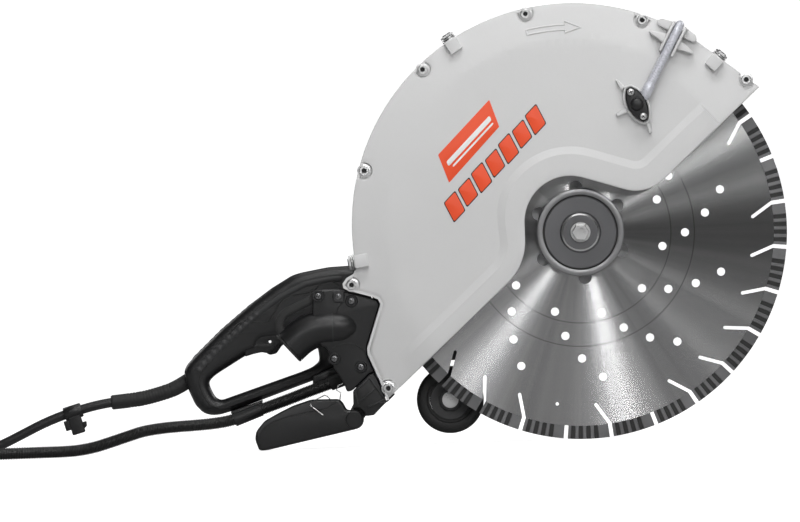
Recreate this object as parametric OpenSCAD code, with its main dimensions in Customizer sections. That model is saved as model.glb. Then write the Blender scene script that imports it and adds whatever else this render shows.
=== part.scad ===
// Hand-held electric masonry saw with a 406 mm diamond blade.
// Inner frame: X to the blade side, Y away from the blade cover, Z up, zero on the spindle
// axis in the blade's middle plane. at_spindle() moves it to the middle of the footprint.

/* [Blade] */
// Outer radius of the blade, over the diamond segments
blade_r = 203; // [200:1:204]
// Radial height of a diamond segment
segment_h = 13; // [10:1:14]
// Thickness of a diamond segment
segment_t = 3.6; // [3.2:0.1:4.0]
// Thickness of the steel core
core_t = 2.8; // [2.4:0.1:3.0]
// Number of diamond segments
segments = 28; // [24:1:30]
// Radius of the clamping flanges
flange_r = 43.3; // [41:0.1:44]

/* [Guard] */
// Radius of the guard's rim
rim_r = 216.6; // [214:0.1:220]
// Front face of the guard, in front of the blade plane
guard_front = 27; // [26:1:28]
// Back face of the guard, behind the blade plane
guard_back = 16; // [16:1:17]
// Wall thickness of the two guard shells
guard_wall = 3; // [2.5:0.1:3.5]

/* [Drive] */
// Distance of the motor axis behind the blade plane
motor_y = 72; // [72:1:74]
// Slope of the motor axis below the horizontal, towards the rear handle
motor_tilt = 15; // [14:1:16]
// Radius of the motor housing
motor_r = 46; // [45:1:46]
// Teeth on the spindle's bevel gear
gear_teeth = 41; // [41:1:43]
// Teeth on the armature's bevel pinion
pinion_teeth = 10; // [10:1:11]

/* [Handles] */
// Reach of the rear handle behind the spindle
handle_reach = 395; // [395:1:397]
// Half width of the rear handle
handle_half = 20; // [18:1:22]
// Distance of the front grip behind the blade plane
bow_y = 125; // [120:1:130]
// Radius of the front grip
bow_grip_r = 15; // [14:1:16]

/* [Roller] */
// Radius of the guide roller's tyre
roller_r = 33; // [30:0.5:33]
// Width of the guide roller
roller_w = 28; // [24:1:30]

/* [Cords] */
// Diameter of the mains cable
cable_d = 9.5; // [8:0.5:10]
// Diameter of the corrugated water hose
hose_d = 12; // [11:0.5:12.5]

/* [Hidden] */
$fn = 64;

// Footprint: the origin is under the middle of the box around the saw
front_reach = 46;
back_reach = bow_y + bow_grip_r;
spindle_x = (handle_reach - blade_r) / 2;
blade_y = (front_reach - back_reach) / 2;

// Guard outline
rim_c = [-7.5, 8.4];
tip = [180.4, 136];
edge_slope = 42;
recess_c = [-9.5, 10.5];
recess_r = 45;
left_c = [-111.5, -5];
left_r = 57;
right_c = [56.7, 78.5];
right_r = 40;
rim_start = atan2(tip[1] - rim_c[1], tip[0] - rim_c[0]) + acos(rim_r / norm(tip - rim_c));
s_turn = atan2(right_c[1] - recess_c[1], right_c[0] - recess_c[0])
    + acos((recess_r + right_r) / norm(right_c - recess_c));
rear_edge = [[-206, -56], [-201, -58.5], [-198.5, -63], [-200, -67.5], [-213.2, -106], [-212.8, -112],
    [-199, -146], [-195.7, -158]];
guard_outline = concat([tip], arc(rim_c, rim_r - 1, rim_start, 189.5, 46),
    [[-224.5, -33], [-231, -36.5], [-235, -42], [-234.3, -46.3], [-229.4, -49]], rear_edge, [[-187.5, -150.2]],
    arc(left_c, left_r, edge_slope - 90, 0, 10), arc(recess_c, recess_r, 180, s_turn, 16),
    arc(right_c, right_r, s_turn + 180, edge_slope + 270, 10));
split_y = -9;
housing_tab = [[-190, -62], [-225, -58], [-255, -56], [-258, -92], [-248, -108], [-237, -132],
    [-227, -140], [-222, -156], [-206, -162], [-190, -148]];

// Cover screws: five at an even pitch around the rim, two at the rear corners
screw_a0 = 37.6;
screw_pitch = 31.5;
screw_ring = 211;
screw_places = concat([[167.7, 143.6]], [for (i = [1:4]) polar(rim_c, screw_ring, screw_a0 + i * screw_pitch)],
    [[-226.2, -43.5], [-194, -146]]);
pocket_r = 8.3;
pocket_y = -19;
rim_bolt_a = [46.7, 121.7, 187.8];

// Bevel gears with a common apex where the two shafts' axes meet
gear_m = 2.4;
gear_rp = gear_m * gear_teeth / 2;
pinion_rp = gear_m * pinion_teeth / 2;
cone_l = norm([gear_rp, pinion_rp]);
gear_delta = atan(gear_rp / pinion_rp);
face_w = 14;
small_end = 1 - face_w / cone_l;
addendum = 2.0;
dedendum = 2.6;
flank = 20;

// Places along the motor axis, from the bevel apex
motor_front = 96;
motor_rear = 214;
shaft_r = 6;
brush_at = 180;

// Rear handle
handle_outer = [[-215.2, -24], [-232.7, -24.6], [-248.7, -25.1], [-276.4, -29.6], [-284.9, -32],
    [-304.4, -43.2], [-325, -57.4], [-355.9, -82.3], [-383.9, -108.3], [-392.3, -117],
    [-handle_reach, -124], [-391.2, -141.1], [-384.7, -156.4], [-376.9, -164.7], [-369.1, -167],
    [-361, -166.8], [-349.1, -163.7], [-250, -130.5], [-236, -126], [-196, -104]];
handle_loop = [[-363.6, -127.1], [-370.3, -132.9], [-370.5, -137.9], [-365.4, -149.2], [-359.5, -152.8],
    [-280, -127.7], [-268.3, -123.4], [-260.6, -117.3], [-262, -104], [-272, -93], [-318, -96],
    [-321, -105.5], [-333, -109.2]];
switch_bay = [[-335, -84], [-322, -68], [-300, -52], [-262, -42], [-258, -80], [-262, -98], [-318, -99]];
hose_lug = [[-347, -160], [-319, -150.5], [-319, -163], [-347, -173]];
trigger_hinge = [-272, -84];
trigger_outline = [[-271, -78.5], [-266.5, -84], [-271, -90.5], [-290, -97], [-297.6, -101], [-303, -108.5],
    [-309.8, -109.8], [-314.5, -106.5], [-317.5, -101], [-317, -96.5], [-311, -99.5], [-300, -92], [-280, -80]];

// Dust outlet at the rear corner of the guard
elbow_y = -5;
elbow_r = 17.5;
elbow_bore = 15;
elbow_top = [-250, -84.5];
elbow_bend_r = 50;
elbow_a = 41;
elbow_dir = [-cos(elbow_a), -sin(elbow_a)];
bend_end = [elbow_top[0] - elbow_bend_r * sin(elbow_a),
    elbow_top[1] - elbow_bend_r * (1 - cos(elbow_a))];
mouth = bend_end + 8 * elbow_dir;
housing_outline = [[-265, -48], [-255, -47], [-238, -47], [-234.8, -49.2], [-229.6, -50.6], [-206.6, -57], [-201.6, -59.2],
    [-199.2, -63.2], [-200.8, -67.7], [-214, -106], [-213.6, -112.2], [-206.5, -130], [-211.5, -130.5],
    [-229, -147], [-234.6, -148.3], [-237.2, -139.4], [-246, -125], [-252, -105], [-260, -100], [-266, -80]];
housing_inner = [[-262, -50.5], [-238, -50.5], [-229, -54], [-207.6, -60], [-204, -65], [-217, -106],
    [-216.5, -113], [-211, -126.5], [-228.5, -143.4], [-232.5, -144.5], [-234.6, -138], [-243, -123],
    [-249.5, -103], [-257.5, -97], [-262.5, -80]];
strap_c = [-283.5, -81];
strap_r = 15;
strap_w = 7;
housing_screw_places = [[-259.4, -53.2], [-239.5, -54.3], [-226.9, -59.2], [-245.7, -115], [-220, -124.2]];

// Rear flap
flap_c = [-228.4, -175.5];
flap_y0 = -20;
flap_y1 = 14;
flap_outline = concat([[-326.3, -191.5], [-322.6, -202.6], [-314.6, -202.4]], arc(flap_c, 9.5, -79, 90, 10),
    [[-235.2, -166.2], [-238.8, -158.6], [-242.7, -154.9], [-269.8, -154.4], [-288, -159.8],
    [-302.2, -166.3], [-316.6, -173.7], [-325, -183.5]]);
flap_pocket = [[-323.4, -191], [-320.6, -199.6], [-315, -199.6], [-226, -183], [-226, -169], [-238, -160],
    [-243, -151], [-270, -151], [-288.5, -156.9], [-302, -163], [-315, -171.5], [-322.4, -184]];
corner_outline = [[-188.3, -151.2], [-196.3, -158.8], [-200, -146.5], [-207, -131.5], [-211.7, -131.2],
    [-228.6, -147.4], [-228.8, -163.9], [-222.5, -164.4], [-217.8, -169], [-217.5, -172.5], [-208.9, -171.8],
    [-199.8, -162.8], [-187.5, -152]];

// Roller
roller_c = [-133.4, -159.8];
roller_y0 = 20;
roller_y1 = roller_y0 + roller_w;
bracket_outline = [[-150, -106], [-148, -93], [-112, -86], [-98, -94], [-98, -110], [-112, -160],
    [-122, -172], [-140, -176], [-149, -164], [-147, -140]];

// Water feed
tube_y = -36.6;
feed_y = 21;
tube_r = 4.2;
tube_a = 61.4;
tube_dir = [cos(tube_a), sin(tube_a)];
nozzle_c = [59.6, 123.1];
nozzle_turn = -25.4;
nozzle_plate = [[-5, 31], [2, 22], [9.9, 3], [5.5, -19], [1, -31.5], [-4, -31.5], [-8, -20], [-16, -6],
    [-23, -4], [-23, 3], [-15, 5], [-10.5, 18], [-8, 31]];
tube_foot = [64.4, 125.8];
tube_len = 74;
tube_bend = 10;
feed_ring = 188;
feed_turn = 12;
feed_end_a = 200;
nipple_a = 198;
valve_c = [-165.5, -107];
nipple_start = [-166, -112.3];
nipple_len = 77.5;

// Bow handle
bow_x = [-105, 65];
bow_z = 125;
bow_tube_r = 11;
bow_bend = 30;

// Routes of the two cords, in the frame of the whole part
handle_exit = [-296, 25, 70.4];
relief_route = [[-294, 25, 71], handle_exit, [-304, 25, 66], [-313, 25, 62], [-327, 25, 58], [-341, 25, 55],
    [-356, 25, 53.3], [-372, 25, 52]];
cable_route = [[-372, 25, 52], [-386, 25, 49.8], [-400, 25, 46.6], [-420, 25, 41], [-440, 25, 33.5],
    [-460, 25, 24.2], [-480, 25, 15], [-500, 25, 8], [-520, 25, 5], [-540, 25, 4.8], [-560, 24.6, 4.8],
    [-580, 23.4, 4.8], [-595, 21.5, 4.8]];
coil_c = [-620, 77];
coil_in = 38;
coil_out = 67;
coil_h = 38;
plug_route = [[-620, 138.6, 4.8], [-606, 138.4, 4.8], [-592, 137.6, 5.6], [-578, 137, 9], [-566, 137, 12.2],
    [-556, 137, 13]];
hose_route = [[-144, -26, 66.7], [-160, -26, 61.7], [-178, -26, 55.8], [-195, -26, 49.8], [-215, -26, 43.2],
    [-235, -26, 36.6], [-253, -26, 31], [-270, -26, 28.4], [-288, -26, 27.2], [-305, -26, 26.5],
    [-322, -26, 25.4], [-340, -26, 23], [-356, -26, 18.6], [-372, -26, 13.8], [-388, -26, 9.4],
    [-404, -26, 6.8], [-420, -26, 6], [-445, -27, 6], [-470, -29, 6], [-495, -31, 6.4], [-520, -32, 9],
    [-545, -32, 12], [-560, -32, 13]];

// ---------------------------------------------------------------- helpers
function polar(c, r, a) = [c[0] + r * cos(a), c[1] + r * sin(a)];
function arc(c, r, a0, a1, n) = [for (i = [0:n]) polar(c, r, a0 + (a1 - a0) * i / n)];
function unit(v) = v / norm(v);

// From the spindle's frame to the part's frame
module at_spindle() translate([spindle_x, blade_y, blade_r]) children();

// A flat outline in X and Z, thick from y0 to y1
module slab(y0, y1) translate([0, y1, 0]) rotate([90, 0, 0]) linear_extrude(y1 - y0) children();

// A round bar along Y
module rod_y(p, r, y0, y1) translate([p[0], y1, p[1]]) rotate([90, 0, 0]) cylinder(h = y1 - y0, r = r);

// A round bar between two points
module rod(a, b, r) {
    v = b - a;
    translate(a) rotate([0, acos(v[2] / norm(v)), atan2(v[1], v[0])]) cylinder(h = norm(v), r = r);
}

// A turned body about Y: points are radius and y
module turned_y(points) rotate([-90, 0, 0]) rotate_extrude() polygon(points);

// The motor's frame: local Z runs along the motor axis from the bevel apex, local X is up
module along_motor() translate([0, motor_y, 0]) rotate([0, -90 - motor_tilt, 0]) children();

// A quarter bend of a round bar, from +Z towards +X, starting at the origin
module quarter_bend(bend, r, angle = 90) translate([bend, 0, 0]) rotate([90, 0, 180])
    rotate_extrude(angle = angle) translate([bend, 0]) circle(r);

// A tube swept along a route
module cord(route, r, sides) {
    last = len(route) - 1;
    tangent = [for (i = [0:last]) unit(route[min(i + 1, last)] - route[max(i - 1, 0)])];
    side = [for (t = tangent) unit(cross(t, [0, 0, 1]))];
    points = [for (i = [0:last], k = [0:sides - 1]) let (a = 360 * k / sides)
        route[i] + r * (side[i] * cos(a) + cross(side[i], tangent[i]) * sin(a))];
    walls = [for (i = [0:last - 1], k = [0:sides - 1]) let (n = (k + 1) % sides)
        [i * sides + k, i * sides + n, (i + 1) * sides + n, (i + 1) * sides + k]];
    first_cap = [for (k = [sides - 1:-1:0]) k];
    last_cap = [for (k = [0:sides - 1]) last * sides + k];
    polyhedron(points, concat(walls, [first_cap, last_cap]));
}

// One straight bevel tooth, apex at the origin, axis along Z, pointing along X
module bevel_tooth(delta, half_t) {
    g = [sin(delta), 0, cos(delta)];
    n = [cos(delta), 0, -sin(delta)];
    tip_t = half_t - addendum * tan(flank);
    root_t = half_t + dedendum * tan(flank);
    function corner(s, v, w) = s * (cone_l * g + v * n + [0, w, 0]);
    points = [for (s = [small_end, 1]) for (c = [[-dedendum - 0.4, -root_t], [addendum, -tip_t],
        [addendum, tip_t], [-dedendum - 0.4, root_t]]) corner(s, c[0], c[1])];
    polyhedron(points, [[0, 1, 2, 3], [7, 6, 5, 4], [4, 5, 1, 0], [5, 6, 2, 1], [6, 7, 3, 2], [7, 4, 0, 3]]);
}

module bevel_teeth(teeth, delta, half_t) for (i = [0:teeth - 1]) rotate([0, 0, 360 * i / teeth])
    bevel_tooth(delta, half_t);

// ---------------------------------------------------------------- guard
module rim_sector() polygon(concat([rim_c], arc(rim_c, 300, rim_start - 6, 192, 12)));

module rim_wall(y0, y1) intersection() {
    difference() {
        rod_y(rim_c, rim_r, y0, y1);
        rod_y(rim_c, rim_r - guard_wall, y0 - 1, y1 + 1);
    }
    slab(y0 - 1, y1 + 1) rim_sector();
}

module screw_bosses(y0, y1, r) intersection() {
    union() for (p = screw_places) rod_y(p, r, y0, y1);
    slab(y0 - 1, y1 + 1) polygon(guard_outline);
}

module rear_guard() color("silver") at_spindle() difference() {
    union() {
        slab(guard_back - guard_wall, guard_back) polygon(guard_outline);
        rim_wall(split_y, guard_back - 1);
        screw_bosses(split_y, guard_back - 1, 7);
        slab(guard_back - 2, guard_back) polygon(housing_tab);
    }
    for (p = screw_places) rod_y(p, 2.1, split_y - 1, guard_back - guard_wall);
    rod_y([0, 0], 32, 0, 30);
    for (a = [45:90:315]) rod_y(polar([0, 0], 50, a), 3.3, 0, 30);
}

module front_guard() color("gainsboro") at_spindle() difference() {
    union() {
        difference() {
            slab(-guard_front, guard_wall - guard_front) polygon(guard_outline);
            for (p = screw_places) rod_y(p, pocket_r, -guard_front - 1, pocket_y);
        }
        rim_wall(-guard_front + 1, split_y);
        difference() {
            screw_bosses(pocket_y - 5, split_y, pocket_r + 2);
            for (p = screw_places) rod_y(p, pocket_r, -guard_front - 1, pocket_y);
        }
        for (a = rim_bolt_a) rim_pad(a);
    }
    for (p = screw_places) rod_y(p, pocket_r, -guard_front - 1, pocket_y);
    for (p = screw_places) rod_y(p, 2.75, -guard_front, 0);
    for (a = rim_bolt_a) rim_place(a) cylinder(h = 40, r = 3.1, center = true);
}

// Local Z points out of the rim, at the middle of the front shell's depth
module rim_place(a) translate([rim_c[0], -16, rim_c[1]]) rotate([0, 90 - a, 0]) translate([0, 0, rim_r])
    children();

module rim_pad(a) rim_place(a) translate([-6.5, -14, -13]) cube([13, 21, 13.2]);

module cover_screws() color("darkgray") at_spindle() for (p = screw_places) difference() {
    union() {
        rod_y(p, 5.4, pocket_y - 1.2, pocket_y);
        rod_y(p, 4.3, pocket_y - 6, pocket_y - 1.2);
        rod_y(p, 2.05, pocket_y, 4);
    }
    slab(pocket_y - 7, pocket_y - 3) translate(p) circle(2.2, $fn = 6);
}

module rim_bolts() color("dimgray") at_spindle() for (a = rim_bolt_a) rim_place(a) difference() {
    union() {
        translate([0, 0, 0.3]) cylinder(h = 1.6, r = 6.6);
        translate([0, 0, 1.9]) cylinder(h = 1.2, r = 5.4);
        translate([0, 0, 3.1]) cylinder(h = 4, r = 6);
        translate([0, 0, -12]) cylinder(h = 13, r = 3);
    }
    translate([0, 0, 5]) cylinder(h = 4, r = 3, $fn = 6);
}

module label_panels() color("orangered") at_spindle() slab(-guard_front - 0.6, -guard_front) {
    polygon([[-140, 58], [-112, 58], [-76, 128], [-104, 128]]);
    polygon([[-134, 12], [-124, 4], [-42, 106], [-52, 112]]);
}

// ---------------------------------------------------------------- blade
slot_a0 = 6.7;
slot_pitch = 360 / segments;
slot_r = 170;
slot_slant = 3.6;
slot_w = 3.2;
gap_w = 3.8;
hole_arms = 11;
hole_a0 = -11.6;
hole_rings = [[81.8, 0], [102.8, 9.5], [123.9, 18.5], [143.5, 26.6]];
hole_r = 4;
core_r = blade_r - segment_h;
pin_circle_r = 44.5;

module blade_core() color("lightgray") at_spindle() difference() {
    rod_y([0, 0], core_r, -core_t / 2, core_t / 2);
    rod_y([0, 0], 12.75, -5, 5);
    for (i = [0:segments - 1]) {
        a = slot_a0 + i * slot_pitch;
        start = polar([0, 0], slot_r, a - slot_slant);
        over = polar([0, 0], core_r + 2, a + 0.36);
        slope = atan2(over[1] - start[1], over[0] - start[0]);
        rod_y(start, slot_w / 2, -5, 5);
        translate([start[0], 0, start[1]]) rotate([0, -slope, 0])
            translate([0, -5, -slot_w / 2]) cube([norm(over - start) + 1, 10, slot_w]);
    }
    for (i = [0:hole_arms - 1], h = hole_rings)
        rod_y(polar([0, 0], h[0], hole_a0 + h[1] + i * 360 / hole_arms), hole_r, -5, 5);
    for (a = [34:60:334]) rod_y(polar([0, 0], pin_circle_r, a), 6.5, -5, 5);
}

module blade_segments() color("darkgray") at_spindle() difference() {
    rod_y([0, 0], blade_r, -segment_t / 2, segment_t / 2);
    rod_y([0, 0], core_r, -5, 5);
    for (i = [0:segments - 1]) rotate([0, -slot_a0 - i * slot_pitch, 0])
        translate([core_r - 5, -5, -gap_w / 2]) cube([30, 10, gap_w]);
}

module inner_flange() color("dimgray") at_spindle() turned_y([[12.75, core_t / 2], [flange_r, core_t / 2],
    [flange_r, 7], [26, 12], [12.75, 12]]);

module outer_flange() color("gray") at_spindle() turned_y([[5.3, -core_t / 2 - 6.2], [5.3, -11.5],
    [19.5, -11.5], [20.5, -10.5], [35.4, -10.5], [36, -9.7], [37, -9.7], [37.6, -9], [flange_r - 1, -9],
    [flange_r, -8], [flange_r, -core_t / 2], [13, -core_t / 2], [13, -core_t / 2 - 6.2]]);

module arbor_bolt() color("silver") at_spindle() {
    difference() {
        union() {
            rod_y([0, 0], 9, -15.5, -14);
            slab(-21, -15.5) circle(8.8, $fn = 6);
            rod_y([0, 0], 5, -14, 9);
        }
        rod_y([0, 0], 5, -22, -17.5);
    }
    difference() {
        rod_y([0, 0], 18.5, -14, -11.5);
        rod_y([0, 0], 5.05, -15, -11);
    }
}

module spindle() color("silver") at_spindle() difference() {
    turned_y([[0, -6.5], [12.7, -6.5], [12.7, 12], [15, 12], [15, 42], [14, 42], [14, 58], [12, 58],
        [12, 94], [8.5, 94], [8.5, 108], [0, 108]]);
    rod_y([0, 0], 5.05, -7, 12);
}

// ---------------------------------------------------------------- gear case
module gear_frame() translate([0, motor_y, 0]) rotate([0, -180 - motor_tilt, 0]) rotate([90, 0, 0])
    children();

module bevel_gear() color("slategray") at_spindle() gear_frame() {
    rotate([0, 0, 180 / gear_teeth]) bevel_teeth(gear_teeth, gear_delta, 1.3);
    rotate_extrude() polygon([[14.02, 16], [small_end * (gear_rp - 0.6), small_end * 14.5 + 0.05],
        [gear_rp - 0.6, 14.55], [gear_rp - 0.6, 18], [24, 22], [24, 30], [14.02, 30]]);
}

module bearing(inner, outer, a, b) rotate_extrude() polygon([[inner, a], [outer, a], [outer, b], [inner, b]]);

module spindle_bearings() color("silver") at_spindle() {
    rotate([-90, 0, 0]) bearing(15.03, 31, 22, 38);
    rotate([-90, 0, 0]) bearing(8.53, 20, 96, 108);
}

module gear_case() color("darkgray") at_spindle() difference() {
    union() {
        rod_y([0, 0], 64, guard_back, 92);
        along_motor() {
            translate([0, 0, 40]) cylinder(h = 45, r = 25);
            translate([0, 0, 80]) cylinder(h = 10, r1 = 25, r2 = motor_r);
            translate([0, 0, 90]) cylinder(h = motor_front - 90, r = motor_r);
        }
        rod([55, 70, 0], [71, 70, 0], 10);
    }
    rod_y([0, 0], 17, 0, 50);
    rod_y([0, 0], 31, 22, 38.5);
    rod_y([0, 0], 53, 38.5, 94);
    rod_y([0, 0], 65, 92, 130);
    along_motor() {
        cylinder(h = 100, r = 16);
        translate([0, 0, 84]) cylinder(h = 12.5, r1 = 16, r2 = 40);
    }
    for (a = [45:90:315]) rod_y(polar([0, 0], 50, a), 2.7, 10, 30);
    for (a = [60:90:330]) rod_y(polar([0, 0], 58.5, a), 2.1, 80, 93);
    rod([55.5, 70, 0], [72, 70, 0], 4.25);
    rod([0, 50, 50], [0, 50, 70], 4.05);
}

module gear_case_cover() color("darkgray") at_spindle() difference() {
    turned_y([[12.5, 92], [64, 92], [64, 98], [62.5, 99.5], [26, 99.5], [26, 110], [24.5, 111.5], [0, 111.5],
        [0, 109], [20, 109], [20, 96], [12.5, 96]]);
    for (a = [60:90:330]) rod_y(polar([0, 0], 58.5, a), 2.75, 90, 101);
}

module case_screws() color("dimgray") at_spindle() {
    for (a = [45:90:315]) {
        rod_y(polar([0, 0], 50, a), 5, 8.5, guard_back - guard_wall);
        rod_y(polar([0, 0], 50, a), 2.65, guard_back - guard_wall, 28);
    }
    for (a = [60:90:330]) {
        rod_y(polar([0, 0], 58.5, a), 4.2, 99.5, 104);
        rod_y(polar([0, 0], 58.5, a), 2.05, 82, 99.5);
    }
}

module lock_button() color("darkred") at_spindle() {
    rod([0, 50, 54.5], [0, 50, 69.5], 4);
    rod([0, 50, 69.5], [0, 50, 75], 8);
}

// ---------------------------------------------------------------- motor
module armature_shaft() color("silver") at_spindle() along_motor() {
    rotate([0, 0, -90]) bevel_teeth(pinion_teeth, 90 - gear_delta, 1.1);
    rotate_extrude() polygon([[0, small_end * gear_rp + 0.6], [small_end * 9.5, small_end * gear_rp + 0.6],
        [9.5, gear_rp + 0.6], [9, 61.5], [shaft_r, 61.5], [shaft_r, 198], [5, 198], [5, 206], [0, 206]]);
}

module armature() color("peru") at_spindle() along_motor() rotate_extrude() polygon([[shaft_r + 0.02, 106],
    [18, 106], [21, 112], [26, 112], [26, 160], [21, 160], [18, 167], [11, 169], [16, 169], [16, 190],
    [shaft_r + 0.02, 190]]);

module fan() color("black") at_spindle() along_motor() {
    difference() {
        union() {
            translate([0, 0, 98]) cylinder(h = 1.5, r = 40);
            translate([0, 0, 98]) cylinder(h = 7, r = 11);
        }
        translate([0, 0, 97]) cylinder(h = 9, r = shaft_r + 0.02);
    }
    for (a = [0:30:330]) rotate([0, 0, a]) translate([22, -0.8, 99.4]) cube([17, 1.6, 5.6]);
}

module armature_bearings() color("silver") at_spindle() along_motor() {
    bearing(shaft_r + 0.03, 16, 62, 72);
    bearing(5.03, 15, 199, 208);
}

module stator() color("sienna") at_spindle() along_motor() difference() {
    union() {
        translate([0, 0, 114]) cylinder(h = 44, r = 42.8);
        translate([0, 0, 108]) cylinder(h = 56, r = 36);
    }
    translate([0, 0, 100]) cylinder(h = 70, r = 27);
}

module motor_housing() color("#222222") at_spindle() along_motor() difference() {
    union() {
        difference() {
            translate([0, 0, motor_front]) cylinder(h = motor_rear - motor_front, r = motor_r);
            translate([0, 0, motor_front - 1]) cylinder(h = 103, r = 43);
            translate([0, 0, 190]) cylinder(h = 18, r = 38);
        }
        translate([0, 0, 199]) cylinder(h = 10, r = 19);
        for (s = [-1, 1]) translate([0, 0, brush_at]) rotate([s * 90, 0, 0])
            translate([0, 0, 24]) cylinder(h = 21, r = 10);
    }
    translate([0, 0, 198]) cylinder(h = 10, r = 15);
    translate([0, 0, brush_at]) rotate([90, 0, 0]) cylinder(h = 120, r = 7, center = true);
}

module carbon_brushes() color("black") at_spindle() along_motor()
    for (s = [-1, 1]) translate([-4, s * 27.7 - 11.5, brush_at - 3]) cube([8, 23, 6]);

module brush_caps() color("gray") at_spindle() along_motor() for (s = [-1, 1])
    translate([0, 0, brush_at]) rotate([s * 90, 0, 0]) difference() {
        translate([0, 0, 40]) cylinder(h = 6.4, r = 6.95);
        translate([-6, -0.8, 45]) cube([12, 1.6, 3]);
    }

// ---------------------------------------------------------------- rear handle
handle_screw_places = [[-238, -40], [-226, -92], [-300, -48], [-372, -112], [-376, -154], [-250, -124.5]];

module handle_half_body(y0, y1, bay0, bay1) difference() {
    union() {
        difference() {
            slab(y0, y1) polygon(handle_outer);
            slab(y0 - 1, y1 + 1) polygon(handle_loop);
        }
        intersection() {
            along_motor() translate([0, 0, motor_rear]) cylinder(h = 8, r = 34);
            translate([-300, y0 - 20, -160]) cube([200, y1 - y0 + 20, 200]);
        }
    }
    along_motor() translate([0, 0, motor_rear - 60]) cylinder(h = 60, r = 60);
    slab(bay0, bay1) polygon(switch_bay);
    rod([-330, motor_y, -96], [-380, motor_y, -128], 5);
    rod([-378, motor_y, -126.7], [-400, motor_y, -135.2], 7.5);
    for (p = handle_screw_places) rod_y(p, 1.7, motor_y - 15, motor_y + 15);
    rod_y(trigger_hinge, 2.55, motor_y - 14.5, motor_y + 1);
}

module handle_near_half() color("#1c1c1c") at_spindle() difference() {
    union() {
        handle_half_body(motor_y - handle_half, motor_y, motor_y - 12, motor_y + 1);
        slab(14, motor_y - 8) polygon(hose_lug);
    }
    rod([-349.5, feed_y, -173.4], [-316.5, feed_y, -161.4], hose_d / 2 + 1.2);
    translate([-500, motor_y, -250]) cube([400, 60, 400]);
    for (p = handle_screw_places) rod_y(p, 3.6, motor_y - handle_half - 1, motor_y - 14);
}

module handle_far_half() color("#1c1c1c") at_spindle() difference() {
    translate([0, 2 * motor_y, 0]) mirror([0, 1, 0])
        handle_half_body(motor_y - handle_half, motor_y, motor_y - 12, motor_y + 1);
    translate([-500, motor_y - 60, -250]) cube([400, 60, 400]);
    rod_y([-300, -72], 5.05, motor_y + 5, motor_y + handle_half + 1);
}

module screw_y(p, y_head, length, head_r = 3.4) {
    difference() {
        rod_y(p, head_r, y_head, y_head + 2.6);
        rod_y(p, 1.6, y_head - 1, y_head + 1.4);
    }
    rod_y(p, 1.65, y_head + 2.6, y_head + length);
}

nozzle_screw_places = [[53.9, 135.1], [65.3, 111.1]];

module small_screws() color("gray") at_spindle() {
    for (p = handle_screw_places) screw_y(p, motor_y - 16.6, 28);
    for (p = housing_screw_places) screw_y(p, -18.6, 16);
    for (p = nozzle_screw_places) screw_y(p, -44.5, 17);
}

module switch_body() color("dimgray") at_spindle() slab(motor_y - 10, motor_y + 6)
    polygon([[-322, -74], [-302, -57], [-278, -50], [-267, -68], [-299, -84]]);

module trigger() color("#2a2a2a") at_spindle() {
    slab(motor_y - 9, motor_y + 9) polygon(trigger_outline);
    rod_y(trigger_hinge, 2.5, motor_y - 14, motor_y + 14);
}

module lock_off_button() color("darkorange") at_spindle()
    rod_y([-300, -72], 5, motor_y + 10.3, motor_y + handle_half + 3);

// ---------------------------------------------------------------- front handle
module bow_handle() color("#333333") at_spindle() {
    for (side = [0, 1]) {
        s = side == 0 ? 1 : -1;
        x = bow_x[side];
        rod_y([x, bow_z], bow_tube_r, guard_back + 6, bow_y - bow_bend);
        translate([x + s * bow_bend, bow_y - bow_bend, bow_z]) rotate([0, 0, side == 0 ? 90 : 0])
            rotate_extrude(angle = 90) translate([bow_bend, 0]) circle(bow_tube_r);
    }
    rod([bow_x[0] + bow_bend, bow_y, bow_z], [bow_x[1] - bow_bend, bow_y, bow_z], bow_tube_r);
}

module bow_grip() color("#181818") at_spindle() difference() {
    rod([bow_x[0] + bow_bend, bow_y, bow_z], [bow_x[1] - bow_bend, bow_y, bow_z], bow_grip_r);
    rod([bow_x[0], bow_y, bow_z], [bow_x[1], bow_y, bow_z], bow_tube_r + 0.02);
}

module bow_feet() color("silver") at_spindle() for (x = bow_x) difference() {
    union() {
        rod_y([x, bow_z], 21, guard_back, guard_back + 6);
        rod_y([x, bow_z], 15.5, guard_back + 6, guard_back + 24);
    }
    rod_y([x, bow_z], bow_tube_r + 0.02, guard_back + 6, guard_back + 30);
}

// ---------------------------------------------------------------- dust outlet
module elbow_solid(r) {
    translate([elbow_top[0], elbow_y, elbow_top[1] - elbow_bend_r]) rotate([90, 0, 0])
        rotate([0, 0, 90]) rotate_extrude(angle = elbow_a) translate([elbow_bend_r, 0]) circle(r);
    rod([elbow_top[0] - 1, elbow_y, elbow_top[1]], [-232, elbow_y, elbow_top[1]], r + 0.15);
    rod([bend_end[0] - elbow_dir[0], elbow_y, bend_end[1] - elbow_dir[1]], [mouth[0], elbow_y, mouth[1]], r + 0.15);
}

module dust_housing() color("#242424") at_spindle() difference() {
    slab(-16, 14) polygon(housing_outline);
    difference() {
        slab(-13, 11) polygon(housing_inner);
        for (p = housing_screw_places) rod_y(p, 4, -14, 12);
    }
    elbow_solid(elbow_r + 0.1);
    translate([-232, elbow_y, elbow_top[1]]) sphere(elbow_r + 0.25);
    for (p = housing_screw_places) rod_y(p, 1.7, -17, 8);
}

module dust_elbow() color("#2b2b2b") at_spindle() difference() {
    union() {
        elbow_solid(elbow_r);
        translate([-232, elbow_y, elbow_top[1]]) sphere(elbow_r);
    }
    elbow_solid(elbow_bore);
    rod_y([-240, elbow_top[1]], 10, elbow_y, 20);
}

module dust_cap() color("#202020") at_spindle() {
    face = [mouth[0], elbow_y, mouth[1]];
    out = [elbow_dir[0], 0, elbow_dir[1]];
    rod(face, face + 3 * out, elbow_r - 0.2);
    rod(face - 6 * out, face + out, elbow_bore + 0.1);
}

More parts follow.
